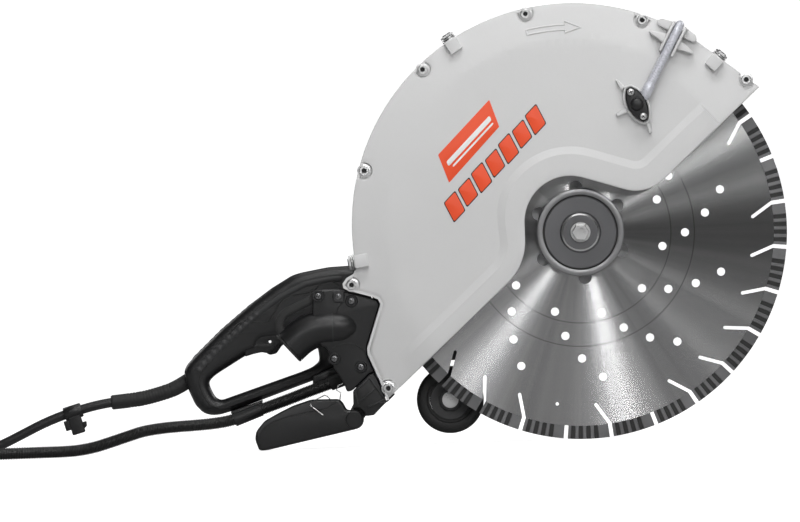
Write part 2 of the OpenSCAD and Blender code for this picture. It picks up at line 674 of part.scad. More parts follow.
module cap_strap() color("#303030") at_spindle() slab(elbow_y - 5, elbow_y + 5) {
    polygon(concat(arc(strap_c, strap_r + strap_w / 2, 115, 190, 12),
        arc(strap_c, strap_r - strap_w / 2, 190, 115, 12)));
    translate(polar(strap_c, strap_r, 115)) rotate(25) translate([0, -strap_w / 2]) square([26, strap_w]);
}

module corner_block() color("#262626") at_spindle() difference() {
    union() {
        slab(-18, 14) polygon(corner_outline);
        slab(-10, 8) polygon(concat(arc(flap_c, 7.5, 150, 300, 10), [[-216, -171], [-220, -160], [-228.6, -160]]));
    }
    rod_y(flap_c, 3.1, -30, 30);
}

// ---------------------------------------------------------------- flap
module flap() color("#1e1e1e") at_spindle() difference() {
    slab(flap_y0, flap_y1) polygon(flap_outline);
    slab(flap_y0 + 3, flap_y1 - 3) polygon(flap_pocket);
    slab(flap_y0 + 3, flap_y1 - 3) translate([-232, -192]) square([20, 40]);
    rod_y(flap_c, 3.06, -30, 30);
}

module flap_pin() color("gray") at_spindle() {
    rod_y(flap_c, 3, flap_y0, flap_y1 + 2);
    rod_y(flap_c, 5, flap_y0 - 2, flap_y0);
}

module flap_spring() color("silver") at_spindle() {
    for (y = [-15.6:1.45:-11.2]) translate([flap_c[0], y, flap_c[1]]) rotate([90, 0, 0])
        rotate_extrude() translate([4.6, 0]) circle(0.8);
    rod([-231.2, -15.6, -179.2], [-262, -15.6, -188.2], 0.8);
    rod([-231.6, -11.2, -172.2], [-241, -11.2, -157], 0.8);
}

// ---------------------------------------------------------------- roller
module roller_bracket() color("#2a2a2a") at_spindle() difference() {
    union() {
        slab(roller_y1 + 1, roller_y1 + 5) polygon(bracket_outline);
        intersection() {
            slab(guard_back, roller_y1 + 3) polygon(bracket_outline);
            slab(guard_back - 1, roller_y1 + 4) polygon([[-170, -80], [-90, -80], [-90, -96], [-125, -122],
                [-170, -122]]);
        }
    }
    rod_y(roller_c, 5.05, 0, 80);
}

module roller_axle() color("silver") at_spindle() {
    rod_y(roller_c, 5, roller_y0 - 2, roller_y1 + 10);
    rod_y(roller_c, 8, roller_y0 - 4.4, roller_y0 - 2);
    slab(roller_y0 - 8, roller_y0 - 4.4) translate(roller_c) circle(7, $fn = 6);
    slab(roller_y1 + 5, roller_y1 + 12) translate(roller_c) circle(9, $fn = 6);
}

module roller_tyre() color("#111111") at_spindle() translate([roller_c[0], 0, roller_c[1]])
    turned_y([[20.02, roller_y0], [roller_r - 3, roller_y0], [roller_r, roller_y0 + 3],
        [roller_r, roller_y1 - 3], [roller_r - 3, roller_y1], [20.02, roller_y1]]);

module roller_hub() color("gray") at_spindle() translate([roller_c[0], 0, roller_c[1]])
    turned_y([[5.05, roller_y0 - 2], [11, roller_y0 - 2], [11, roller_y0 + 2], [20, roller_y0 + 2],
        [20, roller_y1 - 2], [11, roller_y1 - 2], [11, roller_y1 + 0.7], [5.05, roller_y1 + 0.7]]);

// ---------------------------------------------------------------- water feed
top_of_tube = tube_foot + tube_len * tube_dir;

module water_tube() color("whitesmoke") at_spindle() {
    straight_r = tube_r + 0.15;
    // in front of the guard
    rod([tube_foot[0], tube_y, tube_foot[1]], [top_of_tube[0] + tube_dir[0], tube_y, top_of_tube[1] + tube_dir[1]],
        straight_r);
    // over the rim
    translate([top_of_tube[0], tube_y, top_of_tube[1]]) rotate([0, 90 - tube_a, 0]) {
        rotate([0, 0, 90]) quarter_bend(tube_bend, tube_r);
        translate([0, tube_bend - 1, tube_bend]) rotate([-90, 0, 0])
            cylinder(h = feed_y - tube_y - 2 * tube_bend + 2, r = straight_r);
        translate([0, feed_y - tube_y, 0]) rotate([0, 0, -90]) quarter_bend(tube_bend, tube_r);
        translate([0, feed_y - tube_y, turn_u - norm(top_of_tube - rim_c) - 1.2])
            cylinder(h = norm(top_of_tube - rim_c) - turn_u + 2.2, r = straight_r);
    }
    // round the back of the guard, just inside the rim
    translate([turn_c[0], feed_y, turn_c[1]]) rotate([90, 0, 0]) rotate([0, 0, turn_a - 180])
        rotate_extrude(angle = 90 - turn_a + tube_a) translate([feed_turn, 0]) circle(tube_r);
    translate([rim_c[0], feed_y, rim_c[1]]) rotate([90, 0, 0]) rotate([0, 0, turn_a - 0.4])
        rotate_extrude(angle = feed_end_a - turn_a + 0.4) translate([feed_ring, 0]) circle(straight_r);
    feed_end = polar(rim_c, feed_ring, feed_end_a);
    down = [cos(feed_end_a + 90), sin(feed_end_a + 90)];
    rod([feed_end[0] - down[0], feed_y, feed_end[1] - down[1]],
        [feed_end[0] + 49.8 * down[0], feed_y, feed_end[1] + 49.8 * down[1]], straight_r + 0.15);
}

// The inward run turns tangentially into the ring behind the guard
tube_side = [-sin(tube_a), cos(tube_a)];
run_w = (top_of_tube - rim_c) * tube_side;
turn_u = sqrt(pow(feed_ring + feed_turn, 2) - pow(run_w + feed_turn, 2));
turn_c = rim_c + turn_u * tube_dir + (run_w + feed_turn) * tube_side;
turn_a = atan2(turn_c[1] - rim_c[1], turn_c[0] - rim_c[0]);

module water_valve() color("goldenrod") at_spindle() {
    down = [cos(feed_end_a + 90), sin(feed_end_a + 90)];
    difference() {
        union() {
            rod([valve_c[0] - 11 * down[0], feed_y + 5, valve_c[1] - 11 * down[1]],
                [valve_c[0] + 11 * down[0], feed_y + 5, valve_c[1] + 11 * down[1]], 9.5);
            rod_y(valve_c, 7, feed_y + 5, feed_y + 18);
        }
        rod_y(valve_c, 3.05, feed_y + 10, feed_y + 20);
        rod([valve_c[0] - 20 * down[0], feed_y, valve_c[1] - 20 * down[1]],
            [valve_c[0] - 4 * down[0], feed_y, valve_c[1] - 4 * down[1]], tube_r + 0.35);
    }
    nipple_end = nipple_start + nipple_len * [cos(nipple_a), sin(nipple_a)];
    rod([nipple_start[0], feed_y, nipple_start[1]], [nipple_end[0], feed_y, nipple_end[1]], 4.6);
}

module valve_lever() color("royalblue") at_spindle() {
    rod_y(valve_c, 3, feed_y + 12, feed_y + 19);
    rod_y(valve_c, 8, feed_y + 18.3, feed_y + 22);
    slab(feed_y + 18.3, feed_y + 22) translate(valve_c) rotate(165) translate([0, -5]) square([30, 10]);
}

module water_brackets() color("silver") at_spindle() {
    // the clamp that holds the tube near the rim
    translate([top_of_tube[0], 0, top_of_tube[1]]) rotate([0, 90 - tube_a, 0]) difference() {
        union() {
            translate([-8, -guard_front - 12, -22]) cube([16, 12, 34]);
            translate([-24, -guard_front - 5, -12]) cube([48, 5, 6]);
        }
        translate([-tube_r - 0.2, tube_y - 20, -32]) cube([2 * tube_r + 0.4, 40 - guard_front + 15, 60]);
        // the end is open where the tube bends back over the rim
        translate([-tube_r - 0.4, -guard_front - 13, 3.5]) cube([2 * tube_r + 0.8, 14, 20]);
    }
    // the plate under the nozzle, with its ears
    translate([nozzle_c[0], 0, nozzle_c[1]]) rotate([0, nozzle_turn, 0]) difference() {
        union() {
            slab(-guard_front - 5, -guard_front) polygon(nozzle_plate);
        }
        for (s = [-1, 1]) translate([0, 0, s * 13.3]) rod_y([0, 0], 1.7, -40, -20);
    }
}

// A pointed oval, tall along Z
module nozzle_lens(half_l, half_w) {
    r = (half_l * half_l + half_w * half_w) / (2 * half_w);
    intersection() {
        translate([r - half_w, 0]) circle(r);
        translate([half_w - r, 0]) circle(r);
    }
}

module nozzle_block() color("#151515") at_spindle() difference() {
    translate([nozzle_c[0], 0, nozzle_c[1]]) rotate([0, nozzle_turn, 0]) difference() {
        union() {
            slab(-41.9, -guard_front - 5) nozzle_lens(20.5, 9.5);
            rod_y([0, 0], 6, -front_reach, -41);
        }
        for (s = [-1, 1]) translate([0, 0, s * 13.3]) rod_y([0, 0], 3.6, -46, -41.7);
        for (s = [-1, 1]) translate([0, 0, s * 13.3]) rod_y([0, 0], 1.7, -46, -20);
    }
    rod([tube_foot[0], tube_y, tube_foot[1]], [top_of_tube[0], tube_y, top_of_tube[1]], tube_r + 0.35);
}

// ---------------------------------------------------------------- cords
module strain_relief() color("#1a1a1a") cord(relief_route, 7.3, 12);

module cable_tube() color("#151515") {
    cord(cable_route, cable_d / 2, 10);
    cord(plug_route, cable_d / 2, 10);
}

module cable_coil() color("#151515") translate([coil_c[0], coil_c[1], 0]) rotate_extrude()
    translate([coil_in, 0]) square([coil_out - coil_in, coil_h]);

module power_plug() color("#101010") translate([-556, 137, 13]) rotate([0, 90, 0]) {
    rotate_extrude() polygon([[0, 0], [7, 0], [9, 12], [13, 20], [13, 46], [11, 48], [0, 48]]);
    for (s = [-1, 1]) translate([0, s * 5, 48]) cylinder(h = 19, r = 2);
}

module cable_clip() color("#121212") {
    slope = atan2(46.6 - 41, 20);
    translate([-410, 25, 43.8]) rotate([0, -slope, 0]) difference() {
        union() {
            translate([-9, 0, 0]) rotate([0, 90, 0]) cylinder(h = 18, r = 7);
            translate([-7, -6, -22]) cube([13, 12, 19]);
            translate([-12, -5, -16]) cube([6, 10, 6]);
        }
        translate([-12, 0, 0]) rotate([0, 90, 0]) cylinder(h = 24, r = cable_d / 2 + 0.45);
        translate([-12, -3.5, -20]) cube([24, 12, 9]);
    }
}

module hose_tube() color("#101010") cord(hose_route, hose_d / 2, 10);

module hose_coupling() color("gold") translate([-560, -32, 13]) rotate([0, -90, 0]) difference() {
    rotate_extrude() polygon([[0, 0], [8, 0], [8, 8], [12, 10], [12.8, 14], [12.8, 40], [11.5, 42], [0, 42]]);
    translate([0, 0, 24]) cylinder(h = 20, r = 8.5);
}

rear_guard();
front_guard();
cover_screws();
rim_bolts();
label_panels();
blade_core();
blade_segments();
inner_flange();
outer_flange();
arbor_bolt();
spindle();
bevel_gear();
spindle_bearings();
gear_case();
gear_case_cover();
case_screws();
lock_button();
armature_shaft();
armature();
fan();
armature_bearings();
stator();
motor_housing();
carbon_brushes();
brush_caps();
handle_near_half();
handle_far_half();
small_screws();
switch_body();
trigger();
lock_off_button();
bow_handle();
bow_grip();
bow_feet();
dust_housing();
dust_elbow();
dust_cap();
cap_strap();
corner_block();
flap();
flap_pin();
flap_spring();
roller_bracket();
roller_axle();
roller_tyre();
roller_hub();
water_valve();
valve_lever();
water_tube();
water_brackets();
nozzle_block();
strain_relief();
cable_tube();
cable_coil();
power_plug();
cable_clip();
hose_tube();
hose_coupling();
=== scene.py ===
"""Looks for a hand-held masonry saw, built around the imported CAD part."""
import math

import bmesh
import bpy
from mathutils import Matrix, Vector
from mathutils.geometry import delaunay_2d_cdt


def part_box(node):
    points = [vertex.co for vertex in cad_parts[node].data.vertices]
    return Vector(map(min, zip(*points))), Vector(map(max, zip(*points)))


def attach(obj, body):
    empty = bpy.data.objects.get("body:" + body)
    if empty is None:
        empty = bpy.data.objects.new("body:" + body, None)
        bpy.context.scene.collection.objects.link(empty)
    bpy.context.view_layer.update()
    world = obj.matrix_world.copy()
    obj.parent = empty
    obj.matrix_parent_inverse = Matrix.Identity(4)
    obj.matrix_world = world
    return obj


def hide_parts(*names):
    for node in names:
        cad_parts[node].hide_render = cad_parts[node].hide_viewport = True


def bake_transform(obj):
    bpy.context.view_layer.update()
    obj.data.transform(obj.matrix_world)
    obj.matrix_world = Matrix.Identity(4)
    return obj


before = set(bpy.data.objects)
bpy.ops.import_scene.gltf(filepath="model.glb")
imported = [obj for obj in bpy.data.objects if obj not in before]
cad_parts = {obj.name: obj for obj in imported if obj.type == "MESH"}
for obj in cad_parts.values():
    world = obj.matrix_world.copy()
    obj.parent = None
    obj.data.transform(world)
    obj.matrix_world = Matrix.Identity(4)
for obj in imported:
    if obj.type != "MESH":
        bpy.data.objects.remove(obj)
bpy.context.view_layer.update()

# Shapes are drawn in millimetres from the blade's centre: x towards the blade's open side,
# y away from the guard's front, z up. TO_PART puts them in the frame, in metres.
blade_low, blade_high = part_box("blade_segments")
SPINDLE = (blade_low + blade_high) / 2
MM = 0.001
TO_PART = Matrix.Translation(SPINDLE) @ Matrix.Scale(MM, 4)
PART_MM = Matrix.Scale(MM, 4)


# focal length in mm, place in metres, and the lean about the line of sight in degrees
LENS, CAMERA_PLACE, CAMERA_ROLL = 550, (-0.0819, -12.047, 0.1813), 2.1


def rotated(axis, degrees):
    return Matrix.Rotation(math.radians(degrees), 4, axis)


# ---------------------------------------------------------------- camera, lights and stage
def make_camera():
    data = bpy.data.cameras.new("camera")
    data.lens = LENS
    data.clip_end = 250
    camera = bpy.data.objects.new("camera", data)
    bpy.context.scene.collection.objects.link(camera)
    camera.matrix_world = Matrix.Translation(CAMERA_PLACE) @ rotated("Y", CAMERA_ROLL) @ rotated("X", 90)
    bpy.context.scene.camera = camera


def softbox(name, place, size, watts, aim=(0.05, -0.03, 0.2), long_side=None):
    """A rectangular light at a place. Its second side lies along long_side, or upright."""
    data = bpy.data.lights.new(name, "AREA")
    data.shape = "RECTANGLE"
    data.size, data.size_y = size
    data.energy = watts
    light = bpy.data.objects.new(name, data)
    light.visible_camera = False
    bpy.context.scene.collection.objects.link(light)
    out = (Vector(place) - Vector(aim)).normalized()
    across = Vector(long_side or (0, 0, 1)).cross(out).normalized()
    upright = out.cross(across)
    light.matrix_world = Matrix.Translation(place) @ Matrix((across, upright, out)).transposed().to_4x4()


def blade_light(name, azimuth, width, watts):
    """A strip light beside the camera's axis, pointing outwards from it, that fans out on the blade."""
    off_axis, reach, length = 29, 2.8, 1.4
    a, off = math.radians(azimuth), math.radians(off_axis)
    outwards = Vector((math.cos(a), 0, math.sin(a)))
    place = SPINDLE + reach * (outwards * math.sin(off) - Vector((0, 1, 0)) * math.cos(off))
    softbox(name, place, (width, length), watts, SPINDLE, outwards)


def make_world():
    """A soft grey room, brighter above than below, for fill light and gloss."""
    world = bpy.data.worlds.new("world")
    bpy.context.scene.world = world
    world.use_nodes = True
    nodes, links = world.node_tree.nodes, world.node_tree.links
    background = nodes["Background"]
    where = nodes.new("ShaderNodeTexCoord")
    split = nodes.new("ShaderNodeSeparateXYZ")
    links.new(where.outputs["Generated"], split.inputs[0])
    ramp = nodes.new("ShaderNodeMapRange")
    ramp.inputs["From Min"].default_value = -0.2
    ramp.inputs["From Max"].default_value = 0.9
    ramp.inputs["To Min"].default_value = 0.05
    ramp.inputs["To Max"].default_value = 0.24
    links.new(split.outputs["Z"], ramp.inputs["Value"])
    links.new(ramp.outputs["Result"], background.inputs["Strength"])


def make_stage():
    """A pale round floor whose edge curves up all round. It whitens away from the object."""
    flat, bend, top, sides = 60.0, 4.0, 8.0, 128
    profile = [(flat + bend * math.sin(a), bend * (1 - math.cos(a)))
               for a in (math.radians(15 * i) for i in range(7))] + [(flat + bend, top)]
    verts = [(0.0, 0.0, 0.0)]
    for reach, height in profile:
        verts += [(reach * math.cos(math.tau * i / sides), reach * math.sin(math.tau * i / sides), height)
                  for i in range(sides)]
    faces = [(0, i + 1, (i + 1) % sides + 1) for i in range(sides)]
    for ring in range(len(profile) - 1):
        low, high = 1 + ring * sides, 1 + (ring + 1) * sides
        faces += [(low + i, high + i, high + (i + 1) % sides, low + (i + 1) % sides) for i in range(sides)]
    mesh = bpy.data.meshes.new("studio_floor")
    mesh.from_pydata(verts, [], faces)
    mesh.shade_smooth()
    floor = bpy.data.objects.new("studio_floor", mesh)
    bpy.context.scene.collection.objects.link(floor)
    mat = bpy.data.materials.new("studio_paper")
    mat.use_nodes = True
    nodes, links = mat.node_tree.nodes, mat.node_tree.links
    bsdf = nodes["Principled BSDF"]
    bsdf.inputs["Base Color"].default_value = (0.45, 0.45, 0.45, 1)
    bsdf.inputs["Roughness"].default_value = 0.9
    bsdf.inputs["Specular IOR Level"].default_value = 0.0
    bsdf.inputs["Emission Color"].default_value = (1, 1, 1, 1)
    where = nodes.new("ShaderNodeTexCoord")
    reach = nodes.new("ShaderNodeVectorMath")
    reach.operation = "LENGTH"
    links.new(where.outputs["Object"], reach.inputs[0])
    seen = nodes.new("ShaderNodeMapRange")
    seen.interpolation_type = "SMOOTHSTEP"
    seen.inputs["From Min"].default_value = 0.5
    seen.inputs["From Max"].default_value = 3.0
    seen.inputs["To Min"].default_value = 0.86
    seen.inputs["To Max"].default_value = 1.1
    links.new(reach.outputs["Value"], seen.inputs["Value"])
    path = nodes.new("ShaderNodeLightPath")
    glow = nodes.new("ShaderNodeMix")
    glow.data_type = "FLOAT"
    glow.inputs[2].default_value = 0.08
    links.new(path.outputs["Is Camera Ray"], glow.inputs[0])
    links.new(seen.outputs["Result"], glow.inputs[3])
    links.new(glow.outputs[0], bsdf.inputs["Emission Strength"])
    mesh.materials.append(mat)


make_camera()
make_world()
make_stage()
bpy.context.scene.view_settings.view_transform = "Standard"
softbox("key", (0.1, -0.95, 1.85), (1.3, 0.5), 16)
softbox("top", (0.2, 0.3, 2.4), (2.4, 1.4), 18)
softbox("back_left", (-2.4, 2.2, 1.6), (1.5, 1.5), 26)
softbox("back_right", (2.2, 2.6, 1.8), (1.5, 1.5), 26)
blade_light("strip_right", 29, 0.03, 3.4)
blade_light("strip_faint", 14, 0.04, 1.0)
blade_light("strip_high_right", 50, 0.06, 13)
blade_light("strip_top", 99, 0.11, 19)
blade_light("strip_left_high", 133, 0.04, 2.2)
blade_light("strip_left", 149, 0.03, 1.4)


# ---------------------------------------------------------------- materials
class Material:
    """A Principled material whose colour, roughness and bump come from noise in part space."""

    def __init__(self, name, rough, metallic=0.0, ior=1.45):
        self.mat = bpy.data.materials.new(name)
        self.mat.use_nodes = True
        self.nodes = self.mat.node_tree.nodes
        self.links = self.mat.node_tree.links
        self.bsdf = self.nodes["Principled BSDF"]
        self.bsdf.inputs["Roughness"].default_value = rough
        self.bsdf.inputs["Metallic"].default_value = metallic
        self.bsdf.inputs["IOR"].default_value = ior
        self.where = self.nodes.new("ShaderNodeTexCoord").outputs["Object"]
        self.normal = None

    def noise(self, scale, detail, where=None, rough=0.5):
        node = self.nodes.new("ShaderNodeTexNoise")
        node.inputs["Scale"].default_value = scale
        node.inputs["Detail"].default_value = detail
        node.inputs["Roughness"].default_value = rough
        self.links.new(where or self.where, node.inputs["Vector"])
        return node.outputs["Fac"]

    def vector(self, *values):
        node = self.nodes.new("ShaderNodeCombineXYZ")
        for socket, value in zip(node.inputs, values):
            self.links.new(value, socket)
        return node.outputs[0]

    def math(self, operation, a, b=None):
        node = self.nodes.new("ShaderNodeMath")
        node.operation = operation
        for socket, value in zip(node.inputs, (a, b)):
            if isinstance(value, (int, float)):
                socket.default_value = value
            elif value is not None:
                self.links.new(value, socket)
        return node.outputs[0]

    def spread(self, value, low, high, start=0.3, end=0.7):
        node = self.nodes.new("ShaderNodeMapRange")
        node.inputs["From Min"].default_value = start
        node.inputs["From Max"].default_value = end
        node.inputs["To Min"].default_value = low
        node.inputs["To Max"].default_value = high
        self.links.new(value, node.inputs["Value"])
        return node.outputs["Result"]

    def mix(self, factor, a, b):
        """Colour a where factor is 0 and b where it is 1. Each is a colour or a socket."""
        node = self.nodes.new("ShaderNodeMix")
        node.data_type = "RGBA"
        self.links.new(factor, node.inputs[0])
        for socket, value in ((node.inputs[6], a), (node.inputs[7], b)):
            if isinstance(value, tuple):
                socket.default_value = (*value, 1)
            else:
                self.links.new(value, socket)
        return node.outputs[2]

    def colour(self, value):
        if isinstance(value, tuple):
            self.bsdf.inputs["Base Color"].default_value = (*value, 1)
        else:
            self.links.new(value, self.bsdf.inputs["Base Color"])
        return self

    def rough(self, value):
        self.links.new(value, self.bsdf.inputs["Roughness"])
        return self

    def bump(self, height, distance, strength=1.0):
        node = self.nodes.new("ShaderNodeBump")
        node.inputs["Distance"].default_value = distance
        node.inputs["Strength"].default_value = strength
        self.links.new(height, node.inputs["Height"])
        if self.normal:
            self.links.new(self.normal, node.inputs["Normal"])
        self.normal = node.outputs["Normal"]
        self.links.new(self.normal, self.bsdf.inputs["Normal"])
        return self


def shade(colour, k):
    return tuple(min(1.0, c * k) for c in colour)


def simple(name, colour, rough, metallic, grain, depth, vary=0.12):
    """A finish with fine grain, slow colour variation and uneven gloss."""
    rough_vary = 0.07
    m = Material(name, rough, metallic)
    slow = m.noise(14, 4)
    m.colour(m.mix(m.spread(slow, 0, 1), shade(colour, 1 - vary), shade(colour, 1 + vary)))
    fine = m.noise(grain, 2)
    m.rough(m.math("ADD", m.spread(fine, rough - rough_vary, rough + rough_vary),
                   m.spread(slow, -rough_vary / 2, rough_vary / 2)))
    m.bump(fine, depth)
    return m.mat


def painted(name, colour, rough):
    """Satin paint over a casting: fine orange peel and specks."""
    m = Material(name, rough)
    slow = m.noise(6, 5)
    speck = m.spread(m.noise(2600, 1), 0, 1, 0.52, 0.72)
    base = m.mix(m.spread(slow, 0, 1), shade(colour, 0.955), shade(colour, 1.03))
    m.colour(m.mix(m.math("MULTIPLY", speck, 0.14), base, shade(colour, 0.86)))
    m.rough(m.spread(m.noise(420, 3), rough - 0.06, rough + 0.08))
    m.bump(m.noise(900, 2), 0.00005).bump(m.noise(160, 2), 0.00012, 0.5)
    return m.mat


ETCHED_RADII = (0.0890, 0.1120)


def blade_metal():
    """Ground steel: concentric grinding marks, so that its gloss fans out from the centre. Its colour is also
    painted lighter and darker in radial wedges, as painted reflection.
    """
    m = Material("blade_steel", 0.3, 1.0)
    split = m.nodes.new("ShaderNodeSeparateXYZ")
    m.links.new(m.where, split.inputs[0])
    x = m.math("SUBTRACT", split.outputs["X"], SPINDLE.x)
    z = m.math("SUBTRACT", split.outputs["Z"], SPINDLE.z)
    radius = m.math("SQRT", m.math("ADD", m.math("MULTIPLY", x, x), m.math("MULTIPLY", z, z)))
    angle = m.math("ARCTAN2", z, x)
    rings = m.noise(1.0, 1, m.vector(m.math("MULTIPLY", radius, 1500), m.math("MULTIPLY", angle, 0.3)))
    # Painted reflection: noise round the centre makes radial wedges of lighter and darker steel colour.
    painted_reflection_streak = m.noise(5.5, 5, m.vector(m.math("COSINE", angle), m.math("SINE", angle)), 0.62)
    painted_reflection_wedge = m.spread(painted_reflection_streak, 0, 1, 0.36, 0.64)
    steel = m.mix(painted_reflection_wedge, (0.38, 0.38, 0.385), (0.50, 0.50, 0.50))
    to_lines = [m.math("ABSOLUTE", m.math("SUBTRACT", radius, r)) for r in ETCHED_RADII]
    near = m.math("MINIMUM", *to_lines)
    etched = m.spread(near, 0.75, 0.0, 0.0003, 0.0007)
    m.colour(m.mix(etched, steel, (0.2, 0.2, 0.2)))
    m.rough(m.math("ADD", m.spread(rings, 0.195, 0.215), m.spread(painted_reflection_wedge, 0.01, -0.01, 0, 1)))
    m.bsdf.inputs["Anisotropic"].default_value = 1.0
    m.bsdf.inputs["Anisotropic Rotation"].default_value = 0.25
    tangent = m.nodes.new("ShaderNodeTangent")
    tangent.direction_type = "RADIAL"
    tangent.axis = "Y"
    m.links.new(tangent.outputs[0], m.bsdf.inputs["Tangent"])
    return m.mat


def black_moulding(name, colour=(0.008, 0.008, 0.0085), rough=0.35, dots=False):
    """Moulded plastic: fine spark texture, a little dust and, on grips, raised dots."""
    m = Material(name, rough)
    slow = m.noise(9, 5)
    dust = m.spread(m.noise(700, 4), 0, 1, 0.56, 0.78)
    base = m.mix(m.spread(slow, 0, 1), shade(colour, 0.75), shade(colour, 1.35))
    m.colour(m.mix(m.math("MULTIPLY", dust, 0.05), base, (0.08, 0.08, 0.08)))
    fine = m.noise(1800, 2)
    m.rough(m.spread(fine, rough - 0.07, rough + 0.13))
    m.bump(fine, 0.00006)
    if dots:
        cells = m.nodes.new("ShaderNodeTexVoronoi")
        cells.inputs["Scale"].default_value = 330
        cells.inputs["Randomness"].default_value = 0.0
        m.links.new(m.where, cells.inputs["Vector"])
        m.bump(m.spread(cells.outputs["Distance"], 1, 0, 0.2, 0.45), 0.0003)
    return m.mat


GUARD = painted("guard_paint", (0.62, 0.62, 0.62), 0.42)
GUARD_REAR = painted("rear_paint", (0.50, 0.50, 0.51), 0.46)
ALLOY = simple("cast_alloy", (0.50, 0.50, 0.51), 0.42, 0.85, 500, 0.00012)
BLADE = blade_metal()
DIAMOND = simple("diamond_matrix", (0.155, 0.155, 0.158), 0.58, 0.7, 1500, 0.00018, 0.3)
# GROOVE's near-black is painted shade where it fills grooves, sockets, cross recesses and slots, and the real
# dark of seams and printed outlines.
GROOVE = simple("segment_groove", (0.03, 0.03, 0.03), 0.7, 0.3, 1500, 0.0001, 0.3)
STEEL = simple("turned_steel", (0.50, 0.50, 0.50), 0.30, 1.0, 900, 0.000003)
ZINC = simple("zinc_plate", (0.62, 0.62, 0.62), 0.36, 1.0, 900, 0.000003)
DARK_STEEL = simple("dark_steel", (0.20, 0.20, 0.205), 0.38, 0.9, 900, 0.000008)
FLANGE = simple("flange_steel", (0.25, 0.25, 0.255), 0.38, 0.9, 1100, 0.000006)
FLANGE_DISC = simple("flange_disc", (0.13, 0.13, 0.135), 0.4, 0.9, 1100, 0.000006)
BLACK = black_moulding("black_moulding")
BLACK_SOFT = black_moulding("soft_moulding", (0.024, 0.024, 0.025), 0.46)
GRIP = black_moulding("dotted_grip", (0.018, 0.018, 0.018), 0.6, dots=True)
RUBBER = simple("black_rubber", (0.016, 0.016, 0.016), 0.62, 0, 1200, 0.00005, 0.3)
TYRE = simple("tyre_rubber", (0.005, 0.005, 0.005), 0.6, 0, 800, 0.00008, 0.3)
CABLE = simple("cable_sheath", (0.013, 0.013, 0.014), 0.45, 0, 900, 0.00003, 0.3)
HOSE = simple("hose_plastic", (0.014, 0.014, 0.014), 0.38, 0, 900, 0.00003, 0.3)
ORANGE = simple("orange_print", (0.80, 0.075, 0.016), 0.4, 0, 700, 0.00002, 0.08)
PALE = simple("pale_print", (0.80, 0.80, 0.79), 0.4, 0, 700, 0.00002, 0.04)
TUBE = simple("pale_tube", (0.56, 0.57, 0.62), 0.3, 0.2, 600, 0.000004, 0.06)
COPPER = simple("copper_winding", (0.62, 0.28, 0.12), 0.4, 0.9, 1500, 0.0001)
BRASS = simple("brass", (0.62, 0.44, 0.16), 0.3, 1.0, 900, 0.00003)
BLUE = simple("blue_lever", (0.03, 0.10, 0.42), 0.4, 0, 900, 0.00003)
ORANGE_PLASTIC = simple("orange_plastic", (0.78, 0.16, 0.02), 0.42, 0, 1500, 0.00004)
CARBON = simple("carbon", (0.03, 0.03, 0.03), 0.6, 0, 900, 0.00005)
RED_PLASTIC = simple("red_button", (0.34, 0.02, 0.02), 0.42, 0, 1500, 0.00004)

CAD_FINISH = {
    "rear_guard": GUARD_REAR, "blade_core": BLADE, "inner_flange": FLANGE, "outer_flange": FLANGE,
    "arbor_bolt": ZINC, "spindle": STEEL, "bevel_gear": DARK_STEEL, "spindle_bearings": STEEL,
    "gear_case": ALLOY, "gear_case_cover": ALLOY, "case_screws": DARK_STEEL, "lock_button": RED_PLASTIC,
    "armature_shaft": STEEL, "armature": COPPER, "fan": BLACK, "armature_bearings": STEEL,
    "stator": COPPER, "carbon_brushes": CARBON, "switch_body": BLACK, "flap_pin": BLACK,
    "roller_axle": ZINC, "water_valve": BRASS, "bow_feet": ALLOY,
}
for node_name, finish in CAD_FINISH.items():
    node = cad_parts[node_name]
    node.data.materials.clear()
    node.data.materials.append(finish)


# ---------------------------------------------------------------- shapes
# A shape is (corners, faces). Flat outlines are points (x, z).
def polar(c, r, a):
    return (c[0] + r * math.cos(math.radians(a)), c[1] + r * math.sin(math.radians(a)))


def arc(c, r, a0, a1, n):
    return [polar(c, r, a0 + (a1 - a0) * i / n) for i in range(n + 1)]


def circle(c, r, n=32):
    return arc(c, r, 0, 360, n)[:-1]


def rounded(points, radius):
    """The outline with each corner replaced by a curve that starts radius away from it."""
    out, n = [], 4
    for i, p in enumerate(points):
        p = Vector(p)
        a, b = Vector(points[i - 1]) - p, Vector(points[(i + 1) % len(points)]) - p
        start = p + a.normalized() * min(radius, a.length * 0.45)
        end = p + b.normalized() * min(radius, b.length * 0.45)
        for k in range(n + 1):
            t = k / n
            out.append(tuple(start * (1 - t) ** 2 + p * 2 * t * (1 - t) + end * t * t))
    return out


def grown(loop, amount):
    """The outline moved outwards by amount, or inwards where it is negative."""
    area = sum(a[0] * b[1] - b[0] * a[1] for a, b in zip(loop, loop[1:] + loop[:1]))
    sign = 1 if area > 0 else -1
    out = []
    for i, p in enumerate(loop):
        a = (Vector(p) - Vector(loop[i - 1])).normalized()
        b = (Vector(loop[(i + 1) % len(loop)]) - Vector(p)).normalized()
        normal = Vector((a.y + b.y, -a.x - b.x))
        normal = normal.normalized() * sign
        spread = max(0.5, normal.dot(Vector((a.y, -a.x)) * sign))
        out.append(tuple(Vector(p) + normal * amount / spread))
    return out


def moved(shape, matrix):
    return [tuple(matrix @ Vector(v)) for v in shape[0]], shape[1]


def joined(*shapes):
    corners, faces = [], []
    for c, f in shapes:
        faces += [tuple(i + len(corners) for i in face) for face in f]
        corners += c
    return corners, faces


